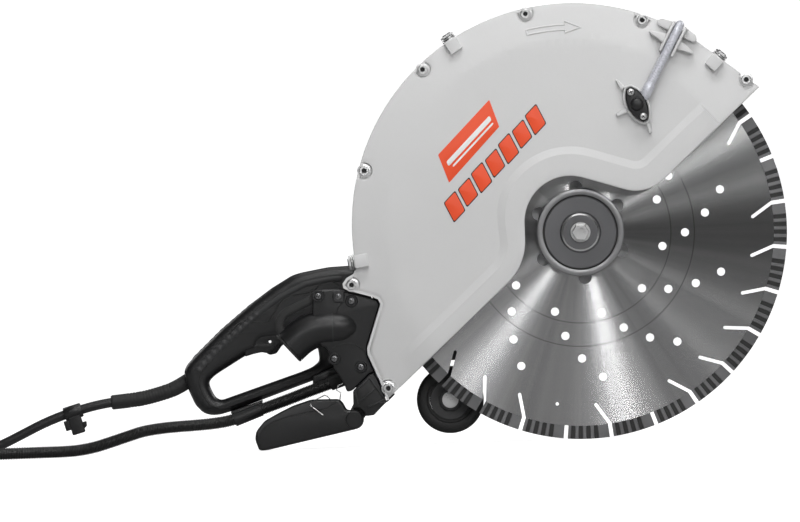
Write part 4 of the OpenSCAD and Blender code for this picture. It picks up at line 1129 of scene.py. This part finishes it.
def water_hose():
    """The corrugated feed hose, from the valve's nipple to its garden coupling."""
    step = 0.4
    line = resampled(smooth_route(hose_route, 8), step)
    half = HOSE_D / 2

    def ribs(share):
        return half - (0.0 if round(share * (len(line) - 1)) % 4 in (1, 2) else 0.75)

    hose = Piece("water_hose", "saw_body", ["hose_tube"], "cable", PART_MM)
    hose.add(swept(line, ribs, 16), HOSE)
    hose_piece = hose.done(60)

    coupling = Piece("hose_coupling_body", "saw_body", ["hose_coupling"], "brass", PART_MM)
    place = Matrix.Translation((-560, -32, 13)) @ rotated("Z", 90)
    coupling.add(moved(turned([(6, 0), (7.4, 0), (8, 0.8), (8, 8), (11.4, 9.6), (12.2, 11), (12.7, 14),
                               (12.7, 38), (12.2, 40.5), (11.4, 42), (8.5, 42), (8.5, 24), (0.4, 24),
                               (0.4, 0)], 48),
                       place), BRASS)
    for k in range(24):
        ridge = block(-0.55, 0.55, 16, 37, 12.1, 12.8, 0.25)
        coupling.add(moved(ridge, place @ rotated("Y", 15 * k)), BRASS)
    coupling_piece = coupling.done()


power_cord()
water_hose()


# ---------------------------------------------------------------- dust outlet
elbow_y, elbow_r = -5, 17.5
elbow_top = (-250, -84.5)
elbow_bend_r, elbow_a = 50, 41
elbow_dir = Vector((-math.cos(math.radians(elbow_a)), 0, -math.sin(math.radians(elbow_a))))
mouth = Vector((elbow_top[0] - elbow_bend_r * math.sin(math.radians(elbow_a)), elbow_y,
                elbow_top[1] - elbow_bend_r * (1 - math.cos(math.radians(elbow_a))))) + 8 * elbow_dir
housing_outline = [(-265, -48), (-255, -47), (-238, -47), (-234.8, -49.2), (-229.6, -50.6), (-206.6, -57),
                   (-201.6, -59.2), (-199.2, -63.2), (-200.8, -67.7), (-214, -106), (-213.6, -112.2),
                   (-206.5, -130), (-211.5, -130.5), (-229, -147), (-234.6, -148.3), (-237.2, -139.4),
                   (-246, -125), (-252, -105), (-260, -100), (-266, -80)]
housing_screws = [(-259.4, -53.2), (-239.5, -54.3), (-226.9, -59.2), (-245.7, -115), (-220, -124.2)]
strap_c, strap_r, strap_w = (-283.5, -81), 15, 7


def small_screw_set():
    """All the small cross-head screws, which share one CAD node."""
    piece = Piece("small_cross_screws", "saw_body", ["small_screws"], "zinc")
    handle_places = [(-238, -40), (-226, -92), (-300, -48), (-372, -112), (-376, -154), (-250, -124.5)]
    nozzle_places = [(53.9, 135.1), (65.3, 111.1)]
    for k, (places, y, r) in enumerate(((handle_places, 56.2, 3.2), (housing_screws, -17.0, 3.3),
                                        (nozzle_places, -42.6, 3.5))):
        for i, p in enumerate(places):
            dome, cross = cross_screw(r)
            place = to_place(p, y, 23 * i + 11 * k)
            piece.add(moved(dome, place), ZINC if k == 2 else DARK_STEEL)
            # The crosses are near-black: painted shade in the recesses.
            piece.add(moved(cross, place), GROOVE)
    return piece.done()


def dust_outlet():
    piece = Piece("dust_housing_shell", "saw_body", ["dust_housing"], "black_plastic")
    piece.add(plate(housing_outline, 3, -16, 14, 1.6, 3), BLACK)
    for p in housing_screws:
        boss = turned([(3.6, -16.2), (3.9, -17.0), (5.4, -17.0), (6.2, -16.2), (6.4, -14), (3.4, -14)], 32)
        piece.add(moved(boss, to_place(p)), BLACK)
    square = [(-244.6, -48.2), (-233.8, -48.6), (-234.6, -60.2), (-244.6, -59.4)]
    piece.add(plate(square, 1.2, -17.6, -15, 0.7), BLACK_SOFT)
    seam = [Vector((x, -16.1, z)) for x, z in ((-232.2, -50.6), (-234.6, -58.4), (-239.8, -64.6),
                                               (-242.0, -70.0))]
    piece.add(swept(smooth_route(seam, 4), 0.55, 8), GROOVE)
    low_seam = [Vector((x, -16.1, z))
                for x, z in ((-247.5, -104.5), (-240, -101.5), (-228, -101.0), (-214.5, -108.5))]
    piece.add(swept(smooth_route(low_seam, 4), 0.5, 8), GROOVE)
    piece.done()
    elbow = Piece("dust_elbow_tube", "saw_body", ["dust_elbow"], "black_plastic")
    bend = [Vector((-213, elbow_y, elbow_top[1] - 4.5)), Vector((-224, elbow_y, elbow_top[1] - 1.6)),
            Vector((-236, elbow_y, elbow_top[1]))]
    for i in range(0, 13):
        q = polar((elbow_top[0], elbow_top[1] - elbow_bend_r), elbow_bend_r, 90 + elbow_a * i / 12)
        bend.append(Vector((q[0], elbow_y, q[1])))
    bend.append(mouth)
    line = resampled(smooth_route(bend, 4), 2.0)

    def taper(share):
        if share < 0.36:
            return elbow_r * max(0.05, math.sin(math.radians(90 * share / 0.36))) ** 0.75
        return elbow_r

    elbow.add(swept(line, taper, 40), BLACK)
    seam = (Vector((-247, elbow_y, elbow_top[1])), Vector((-245.6, elbow_y, elbow_top[1])))
    elbow.add(swept(list(seam), elbow_r + 0.45, 40), BLACK_SOFT)
    elbow.done(40)
    place = Matrix.Translation(mouth) @ elbow_dir.to_track_quat("Y", "X").to_matrix().to_4x4()
    cap = Piece("dust_cap_disc", "dust_cap", ["dust_cap"], "black_rubber")
    cap.add(moved(turned([(0, -5.5), (14.4, -5.5), (15.0, -5), (15.0, 0.1), (16.6, 0.1), (17.5, 0.8),
                          (17.5, 2.2), (16.6, 3), (12, 3), (11.4, 2.5),
                          (0, 2.4)], 48, closed=False), place), RUBBER)
    cap.done()
    strap = Piece("cap_tether", "saw_body", ["cap_strap"], "black_rubber")
    ring = arc(strap_c, strap_r, 115, 200, 24)
    run = Vector((math.cos(math.radians(25)), math.sin(math.radians(25))))
    start = Vector(polar(strap_c, strap_r, 115))
    route = [tuple(start + run * s) for s in (26, 18, 9)] + ring + [(mouth.x - 2.0, mouth.z + 13.5)]
    for (y0, y1), width in (((-10, 0), strap_w + 1.5), ((-10.6, -9.6), strap_w - 1.4)):
        outer, inner = [], []
        for i, p in enumerate(route):
            a, b = Vector(route[max(i - 1, 0)]), Vector(route[min(i + 1, len(route) - 1)])
            along = (b - a).normalized()
            side = Vector((-along.y, along.x)) * (width / 2)
            outer.append(tuple(Vector(p) + side))
            inner.append(tuple(Vector(p) - side))
        strap.add(slab([outer + inner[::-1]], y0, y1, 0.9), RUBBER)
    knob = turned([(0, -13.6), (2.6, -13.4), (3.6, -12.6), (3.8, -11), (3.8, -9), (0, -9)], 28, closed=False)
    strap.add(moved(knob, to_place(housing_screws[0], -2.2)), ZINC)
    strap.add(moved(turned([(3, -11.4), (5.6, -11.4), (6.2, -10.8), (6.2, -4), (3, -4)], 28),
                    to_place(housing_screws[0], -2.2)), BLACK)
    tether = strap.done(ride=False)
    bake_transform(tether)


# ---------------------------------------------------------------- corner block and flap
flap_c = (-228.4, -175.5)
corner_outline = [(-188.3, -151.2), (-196.3, -158.8), (-200, -146.5), (-207, -131.5), (-211.7, -131.2),
                  (-228.6, -147.4), (-228.8, -163.9), (-222.5, -164.4), (-217.8, -169), (-217.5, -172.5),
                  (-208.9, -171.8), (-199.8, -162.8), (-187.5, -152)]
flap_outline = ([(-326.3, -191.5), (-322.6, -202.6), (-314.6, -202.4)] + arc(flap_c, 9.5, -79, 90, 12)
                + [(-235.2, -166.2), (-238.8, -158.6), (-242.7, -154.9), (-269.8, -154.4), (-288, -159.8),
                   (-302.2, -166.3), (-316.6, -173.7), (-325, -183.5)])


def corner_and_flap():
    corner = Piece("corner_bracket", "saw_body", ["corner_block"], "black_plastic")
    corner.add(plate(corner_outline, 1.5, -18, 14, 1.2), BLACK)
    knuckle = arc(flap_c, 7.5, 150, 300, 12) + [(-216, -171), (-220, -160), (-228.6, -160)]
    corner.add(slab([circle(flap_c, 7.5, 32)], -10, 8, 0.6), BLACK)
    corner.add(slab([knuckle], -10, 8, 0.6), BLACK)
    for a, b in (((-226.5, -148.0), (-212.0, -135.0)), ((-212.0, -135.0), (-197.5, -156.5)),
                 ((-197.5, -156.5), (-214.5, -163.5)), ((-221.0, -157.0), (-206.5, -145.5)),
                 ((-226.5, -148.0), (-224.0, -160.5))):
        side = (Vector(b) - Vector(a)).normalized()
        off = Vector((-side.y, side.x)) * 0.75
        loop = [tuple(Vector(a) - off), tuple(Vector(b) - off), tuple(Vector(b) + off),
                tuple(Vector(a) + off)]
        corner.add(slab([loop], -19.6, -17, 0.5), BLACK_SOFT)
    corner.done()
    piece = Piece("rear_flap_shoe", "rear_flap", ["flap"], "black_plastic")
    piece.add(plate(flap_outline, 3, -20, 14, 3.2, 4), BLACK)
    crown = [(-323.4, -189.5), (-324.2, -184.5), (-316.0, -175.0), (-302.0, -167.8), (-288.0, -161.3),
             (-270.2, -155.8), (-243.5, -155.8), (-247.1, -158.7), (-254.8, -163.7), (-271.4, -166.1),
             (-291.1, -169.9), (-306.3, -173.8), (-317.8, -180.2)]
    piece.add(plate(crown, 2, -20.9, -19, 0.85), BLACK_SOFT)
    piece.add(moved(turned([(3.2, -21.4), (7.4, -21.4), (8.4, -20.6), (8.6, -19), (3.2, -19)], 36),
                    to_place(flap_c)), BLACK)
    piece.done()
    spring = Piece("flap_spring_wire", "rear_flap", ["flap_spring"], "zinc")
    coil = []
    for i in range(4 * 20 + 1):
        a = math.radians(18 * i + 150)
        coil.append(Vector((flap_c[0] + 4.6 * math.cos(a), -15.6 + 4.4 * i / 80,
                            flap_c[1] + 4.6 * math.sin(a))))
    near = [(-258.8, -21.6, -169.8), (-271.2, -21.6, -159.8), (-268.0, -18.0, -155.6), (-256.6, -8.0, -150.6),
            (-253.6, -8.0, -152.0), (-250.5, -9.0, -156.5)]
    far = [(-242.0, -12.0, -157.0), (-240.7, -12.0, -148.6), (-244.8, -12.0, -146.0), (-242.7, -12.0, -141.6),
           (-238.4, -12.0, -139.6)]
    for wire in (near, far):
        spring.add(swept([Vector(p) for p in wire], 0.6, 8), ZINC)
    spring.add(swept(coil, 0.7, 8), ZINC)
    spring.done(60)


# ---------------------------------------------------------------- rear handle and switch
handle_outer = [(-196, -104), (-215.2, -24), (-232.7, -24.6), (-248.7, -25.1), (-276.4, -29.6), (-284.9, -32),
                (-304.4, -43.2), (-325, -57.4), (-355.9, -82.3), (-383.9, -108.3), (-392.3, -117),
                (-395, -124), (-391.2, -141.1), (-384.7, -156.4), (-376.9, -164.7), (-369.1, -167),
                (-361, -166.8), (-349.1, -163.7), (-250, -130.5), (-236, -126)]
handle_loop = [(-363.6, -127.1), (-370.3, -132.9), (-370.5, -137.9), (-365.4, -149.2), (-359.5, -152.8),
               (-280, -127.7), (-268.3, -123.4), (-260.6, -117.3), (-262, -104), (-272, -93), (-318, -96),
               (-321, -105.5), (-333, -109.2)]
trigger_hinge = (-272, -84)
trigger_outline = [(-271, -78.5), (-266.5, -84), (-271, -90.5), (-290, -97), (-297.6, -101), (-303, -108.5),
                   (-309.8, -109.8), (-314.5, -106.5), (-317.5, -101), (-317, -96.5), (-311, -99.5),
                   (-300, -92), (-280, -80)]


def rear_handle():
    motor_y, half = 72, 20
    trigger_side = [(-334, -110.5), (-326, -108.2), (-317.4, -106.6), (-312, -107.8), (-305, -104),
                    (-299, -98), (-280, -93.5), (-270, -92), (-272, -86), (-318, -86), (-334, -100)]
    crest = [(-224, -25.2), (-248.7, -25.6), (-276.4, -30.2), (-304.4, -43.6), (-325, -58.0), (-355.9, -82.6),
             (-383.9, -108.6), (-389.5, -116.0)]
    spine = resampled([Vector((x, motor_y, z)) for x, z in beside(crest, 11.6)], 2.5)

    def taper(share):
        return 20.6 * min(1.0, 0.72 + 4 * share, 0.70 + 5 * (1 - share))

    ribs = resampled([Vector((x, motor_y, z)) for x, z in beside(crest[4:], 11.4)], 1.2)
    overmould = [swept(smooth_route(spine, 1), taper, 64, 0.585),
                 swept(ribs, lambda share: 20.6 + (0.35 if int(share * 24) % 2 else 0), 64, 0.585)]
    seams = [[(-238, -43), (-253.1, -38), (-265.6, -48.3), (-292.8, -53.8), (-305.5, -70.9), (-313.7, -77.4),
              (-335.6, -76.3), (-349.0, -88.0)],
             [(-371, -116), (-378.5, -126), (-379.5, -138), (-372, -154.5), (-362, -159.5)]]
    for name, node, s, face in (("handle_near_shell", "handle_near_half", -1, motor_y - half),
                                ("handle_far_shell", "handle_far_half", 1, motor_y + half)):
        piece = Piece(name, "saw_body", [node], "black_plastic")
        outlines = [rounded(handle_outer, 4), rounded(handle_loop, 4)]
        full = slab(outlines, motor_y - half, motor_y + half, 8.5, 6)
        piece.add(half_of(full, motor_y, s), BLACK)
        for shape in overmould:
            piece.add(half_of(shape, motor_y, s), BLACK_SOFT)
        for seam in seams:
            line = [Vector((x, face, z)) for x, z in seam]
            piece.add(swept(smooth_route(line, 5), 0.6, 8), GROOVE)
        piece.add(slab([rounded(trigger_side, 1.5), arc((-309.1, -96.5), 1.6, 0, 340, 12)],
                       *sorted((motor_y + s * 12.5, motor_y + s * 19)), 0.8), BLACK)
        if s < 0:
            lug = [(-350, -163.5), (-335, -159), (-318, -153.5), (-319, -160), (-347, -172)]
            piece.add(plate(lug, 1.5, 24, motor_y - 8, 1.5), BLACK)
            web = [(-268, -132), (-242, -122), (-238.5, -133.5), (-262, -142.5), (-268, -141.2)]
            piece.add(plate(web, 1.2, 30, motor_y - 8, 1.2), BLACK)
            ring = [Vector((-346.5, 21, -172.3)), Vector((-319.5, 21, -162.5))]
            piece.add(swept(ring, 6.5, 28), BLACK)
        piece.done()
    trig = Piece("trigger_lever", "trigger", ["trigger"], "black_plastic")
    trig.add(plate(trigger_outline, 2.0, 63, 81, 2.2, 3), BLACK_SOFT)
    pin = turned([(0, 58), (2.5, 58), (2.5, 86), (0, 86)], 24, False)
    trig.add(moved(pin, to_place(trigger_hinge)), STEEL)
    trig.done()
    lock = Piece("lock_off_cap", "lock_off_button", ["lock_off_button"], "orange_plastic")
    lock.add(moved(turned([(0, 82.3), (5, 82.3), (5, 93.6), (4.3, 94.7), (2.4, 94.9), (2.0, 94.3),
                           (0, 94.3)], 36,
                          closed=False), to_place((-300, -72))), ORANGE_PLASTIC)
    lock.done()


def half_of(shape, y, side):
    """Keeps what lies on one side of the plane at y, and closes the cut."""
    build = bmesh.new()
    corners = [build.verts.new(c) for c in shape[0]]
    for face in shape[1]:
        try:
            build.faces.new([corners[i] for i in face])
        except ValueError:
            continue
    bmesh.ops.remove_doubles(build, verts=build.verts, dist=0.001)
    geom = build.verts[:] + build.edges[:] + build.faces[:]
    cut = bmesh.ops.bisect_plane(build, geom=geom, plane_co=(0, y, 0), plane_no=(0, 1, 0),
                                 clear_inner=side > 0, clear_outer=side < 0)
    edges = [e for e in cut["geom_cut"] if isinstance(e, bmesh.types.BMEdge)]
    bmesh.ops.triangle_fill(build, use_beauty=True, edges=edges)
    build.verts.index_update()
    out = ([tuple(v.co) for v in build.verts], [tuple(v.index for v in f.verts) for f in build.faces])
    build.free()
    return out


small_screw_set()
dust_outlet()
corner_and_flap()
rear_handle()


# ---------------------------------------------------------------- guide roller
roller_c = (-133.4, -159.8)


def guide_roller():
    y0, y1, r = 20, 48, 33
    tyre = Piece("roller_tyre_ring", "guide_roller", ["roller_tyre"], "tyre")
    tyre.add(moved(turned([(20.1, y0 + 1.5), (22.4, y0 + 1.5), (23.0, y0 + 0.4), (23.8, y0), (r - 4.5, y0),
                           (r - 2.2, y0 + 0.7), (r - 0.6, y0 + 2.4), (r, y0 + 4.6), (r, y1 - 4.6),
                           (r - 0.6, y1 - 2.4), (r - 2.2, y1 - 0.7), (r - 4.5, y1), (23.8, y1),
                           (23, y1 - 0.4), (22.4, y1 - 1.5),
                           (20.1, y1 - 1.5)], 96), to_place(roller_c)), TYRE)
    tyre.done(30)
    hub = Piece("roller_hub_disc", "guide_roller", ["roller_hub"], "black_plastic")
    hub.add(moved(turned([(5.1, y0 - 2), (6.4, y0 - 2), (6.8, y0 - 1.6), (10.2, y0 - 1.2), (10.8, y0 - 0.6),
                          (11, y0 + 2.5), (19.4, y0 + 2), (20.0, y0 + 2.4), (20.0, y1 - 2), (11, y1 - 2),
                          (11, y1 + 0.7), (5.1, y1 + 0.7)], 64), to_place(roller_c)), BLACK_SOFT)
    hub.done(30)
    outline = [(-150, -106), (-148, -93), (-112, -86), (-98, -94), (-98, -110), (-112, -160), (-122, -172),
               (-140, -176), (-149, -164), (-147, -140)]
    bracket = Piece("roller_bracket_arm", "saw_body", ["roller_bracket"], "black_plastic")
    bracket.add(slab([rounded(outline, 8), circle((-128, -122), 6.5, 24)], y1 + 1, y1 + 5, 0.8), BLACK_SOFT)
    foot = [(-148, -106), (-147, -93), (-112, -86.5), (-101, -96), (-125, -121), (-148, -121)]
    bracket.add(plate(foot, 4, 16, y1 + 3, 1.6), BLACK_SOFT)
    bracket.done()


guide_roller()


# ---------------------------------------------------------------- water feed
nozzle_c, nozzle_turn = (59.6, 123.1), -25.4
tube_a, tube_y, tube_r = 61.4, -36.6, 4.3
tube_foot, tube_len = (64.4, 125.8), 74
tube_dir = Vector((math.cos(math.radians(tube_a)), 0, math.sin(math.radians(tube_a))))


def water_feed():
    tube = Piece("water_pipe", "saw_body", ["water_tube"], "clear_tube")
    bend, back = 10, 21
    foot = Vector((tube_foot[0], tube_y, tube_foot[1]))
    top = foot + tube_len * tube_dir
    front_run = [foot, foot + tube_dir * 30, top]
    over = []
    for i in range(1, 10):
        a = math.radians(10 * i)
        over.append(top + tube_dir * (bend * math.sin(a)) + Vector((0, bend * (1 - math.cos(a)), 0)))
    far = Vector((0, back - tube_y - 2 * bend, 0))
    down = []
    for i in range(0, 10):
        a = math.radians(10 * i)
        aside = Vector((0, bend * math.sin(a), 0))
        down.append(over[-1] + far + aside - tube_dir * (bend * (1 - math.cos(a))))
    ring_r, turn_r = 188, 12
    line = front_run + over + down
    side = Vector((-math.sin(math.radians(tube_a)), math.cos(math.radians(tube_a))))
    middle = Vector(rim_c)
    run_w = (Vector((top.x, top.z)) - middle).dot(side)
    turn_u = math.sqrt((ring_r + turn_r) ** 2 - (run_w + turn_r) ** 2)
    flat_dir = Vector((tube_dir.x, tube_dir.z))
    turn_c = middle + flat_dir * turn_u + side * (run_w + turn_r)
    turn_a = math.degrees(math.atan2(turn_c.y - middle.y, turn_c.x - middle.x))
    for i in range(9):
        a = tube_a - 90 + (turn_a + 180 - 360 - (tube_a - 90)) * i / 8
        q = polar(turn_c, turn_r, a)
        line.append(Vector((q[0], back, q[1])))
    for i in range(1, 61):
        q = polar(rim_c, ring_r, turn_a + (200 - turn_a) * i / 60)
        line.append(Vector((q[0], back, q[1])))
    end = line[-1]
    drop = Vector((math.cos(math.radians(290)), 0, math.sin(math.radians(290))))
    line += [end + drop * 25, end + drop * 49.5]
    tube.add(swept(line, tube_r, 20), TUBE)
    ferrule = [foot + tube_dir * s for s in (4.5, 5.0, 5.5, 17.5, 18.3, 20.5)]
    widths = [0.9, 1.1, 1.2, 1.2, 1.1, 1.0]
    tube.add(swept(ferrule, lambda share: tube_r * widths[round(share * 5)], 24), TUBE)
    tube.done(50)

    clamp = Piece("water_clamp", "saw_body", ["water_brackets"], "guard_light")
    upright = Matrix.Translation((top.x, 0, top.z)) @ rotated("Y", 90 - tube_a)
    for s in (-1, 1):
        cheek = [(s * 5.0, -22), (s * 7.8, -21), (s * 7.8, 10), (s * 5.0, 11)]
        clamp.add(moved(slab([cheek], -39, -23.5, 0.9), upright), GUARD)
        fin = [(s * 7, -3.5), (s * 7, -13.5), (s * 14, -11.8), (s * 23, -10.6), (s * 24, -9.2),
               (s * 23, -8.0)]
        clamp.add(moved(plate(fin, 1.0, -34.5, -23.5, 1.0), upright), GUARD)
        saddle = [(s * 7.5, 10), (s * 19, 7.5), (s * 22, 3.5), (s * 19, 0), (s * 7.5, 0)]
        clamp.add(moved(plate(saddle, 2.0, -29.5, -20, 1.2), upright), GUARD)
    clamp.add(moved(slab([[(-5.5, -20), (5.5, -20), (5.5, 6), (-5.5, 6)]], -30.5, -23.5, 0.4), upright),
              GUARD)
    turn = Matrix.Translation((nozzle_c[0], 0, nozzle_c[1])) @ rotated("Y", nozzle_turn)
    for ear in ([(-2.5, 20), (-5.4, 30.6), (-7.8, 30.8), (-7.6, 19)],
                [(-9, 2.4), (-22.6, 1.8), (-22.6, -1.8), (-9, -2.6)],
                [(4.6, -19.5), (0.6, -31), (-2.6, -31), (-0.5, -20)]):
        clamp.add(moved(plate(ear, 1.0, -33, -24.5, 1.0, 3), turn), GUARD)
    clamp.add(moved(slab([lens_outline(23, 11.8)], -32, -24.5, 1.2, 3), turn), GUARD)
    lens = lens_outline(23, 11.6)
    clamp.add(moved(slab([lens, lens_outline(20.6, 9.6)], -36.5, -30, 0.8, 3), turn), GUARD)
    clamp.done()
    nozzle = Piece("nozzle_cover", "saw_body", ["nozzle_block"], "black_plastic")
    nozzle.add(moved(slab([lens_outline(20.4, 9.4)], -41.9, -31, 1.6, 3), turn), BLACK)
    nozzle.add(moved(turned([(0, -46), (3.8, -46), (5.2, -45.3), (6.0, -43.8), (6.4, -41), (0, -41)], 40,
                            closed=False), to_place(nozzle_c)), BLACK)
    inlet = [Vector((nozzle_c[0], tube_y, nozzle_c[1])), foot + tube_dir * 4]
    nozzle.add(swept(inlet, 4.6, 24), BLACK)
    nozzle.done()


def lens_outline(half_l, half_w):
    """A pointed oval, tall along Z, with blunt ends."""
    n, r = 14, (half_l * half_l + half_w * half_w) / (2 * half_w)
    span = math.degrees(math.asin((half_l - 2.2) / r))
    return arc((r - half_w, 0), r, 180 - span, 180 + span, n) + arc((half_w - r, 0), r, -span, span, n)


water_feed()

# ---------------------------------------------------------------- drive and front handle
motor_tilt, motor_y = 15, 72
ALONG_MOTOR = Matrix.Translation((0, motor_y, 0)) @ rotated("Y", -90 - motor_tilt)
MOTOR_TURNED = ALONG_MOTOR @ rotated("X", 90)


def motor():
    """The motor housing with its air slots, ribs and brush caps."""
    piece = Piece("motor_shell", "saw_body", ["motor_housing"], "black_plastic")
    piece.add(moved(turned([(30, 96), (44.6, 96), (46, 97.4), (46, 106), (45.2, 107), (45.2, 202), (46, 203),
                            (46, 212), (44.6, 214), (30, 214)], 96), MOTOR_TURNED), BLACK)
    for k in range(36):
        if k % 9:
            rib = block(-1.1, 1.1, 112, 150, 44.9, 46.0, 0.5)
            piece.add(moved(rib, MOTOR_TURNED @ rotated("Y", 10 * k)), BLACK_SOFT)
    # The air slots are near-black strips on the surface, not openings: painted shade.
    for k in range(24):
        slot = block(-1.6, 1.6, 186, 200, 44.4, 45.25, 0.2)
        piece.add(moved(slot, MOTOR_TURNED @ rotated("Y", 15 * k + 7.5)), GROOVE)
    piece.done(30)
    caps = Piece("brush_cap_screws", "saw_body", ["brush_caps"], "black_plastic")
    for s in (-1, 1):
        cap = turned([(0, 40), (6.9, 40), (6.9, 45.4), (6.2, 46.3), (0, 46.3)], 36, closed=False)
        facing = ALONG_MOTOR @ Matrix.Translation((0, 0, 180))
        if s < 0:
            facing = facing @ rotated("Z", 180)
        caps.add(moved(cap, facing), DARK_STEEL)
        # A near-black bar for the slot in each cap: painted shade.
        caps.add(moved(block(-5.4, 5.4, 46.1, 46.5, -0.8, 0.8, 0.1), facing), GROOVE)
    caps.done()


def front_handle():
    bar = Piece("bow_handle_bar", "saw_body", ["bow_handle"], "dark_steel")
    z, bar_y, bend, r = 125, 125, 30, 11
    left, right = -105, 65
    route = [Vector((left, 22.2, z)), Vector((left, bar_y - bend, z))]
    for i in range(1, 10):
        a = math.radians(10 * i)
        route.append(Vector((left + bend * (1 - math.cos(a)), bar_y - bend + bend * math.sin(a), z)))
    for i in range(10):
        a = math.radians(10 * i)
        route.append(Vector((right - bend * (1 - math.sin(a)), bar_y - bend + bend * math.cos(a), z)))
    route += [Vector((right, 22.2, z))]
    bar.add(swept(route, r, 32), DARK_STEEL)
    bar.done(50)
    grip = Piece("bow_grip_sleeve", "saw_body", ["bow_grip"], "black_rubber")
    line = [Vector((-75 + i * 0.55, bar_y, z)) for i in range(201)]

    def finger(share):
        wave = 0.35 * math.cos(share * 2 * math.pi * 4)
        rib = -0.45 if (share * 40) % 1 > 0.72 and 0.08 < share < 0.92 else 0
        return 14.6 + wave + rib - (1.2 if share < 0.012 or share > 0.988 else 0)

    grip.add(swept(line, finger, 40), GRIP)
    grip.done(40)


def valve_lever():
    valve_c, feed_y = (-165.5, -107), 21
    lever = Piece("valve_lever_handle", "valve_lever", ["valve_lever"], "blue_plastic")
    shape = [(-6, -6), (0, -7.6), (8, -6), (28, -4.6), (30, -2.4), (30, 2.4), (28, 4.6), (8, 6), (0, 7.6),
             (-6, 6)]
    lever.add(moved(plate(shape, 1.5, feed_y + 18.3, feed_y + 22, 1.2),
                    to_place(valve_c, 0, 165)), BLUE)
    lever.add(moved(turned([(0, 33), (3, 33), (3, 42.6), (2.4, 43), (0, 43)], 24, closed=False),
                    to_place(valve_c)), STEEL)
    lever.done()


motor()
front_handle()
valve_lever()
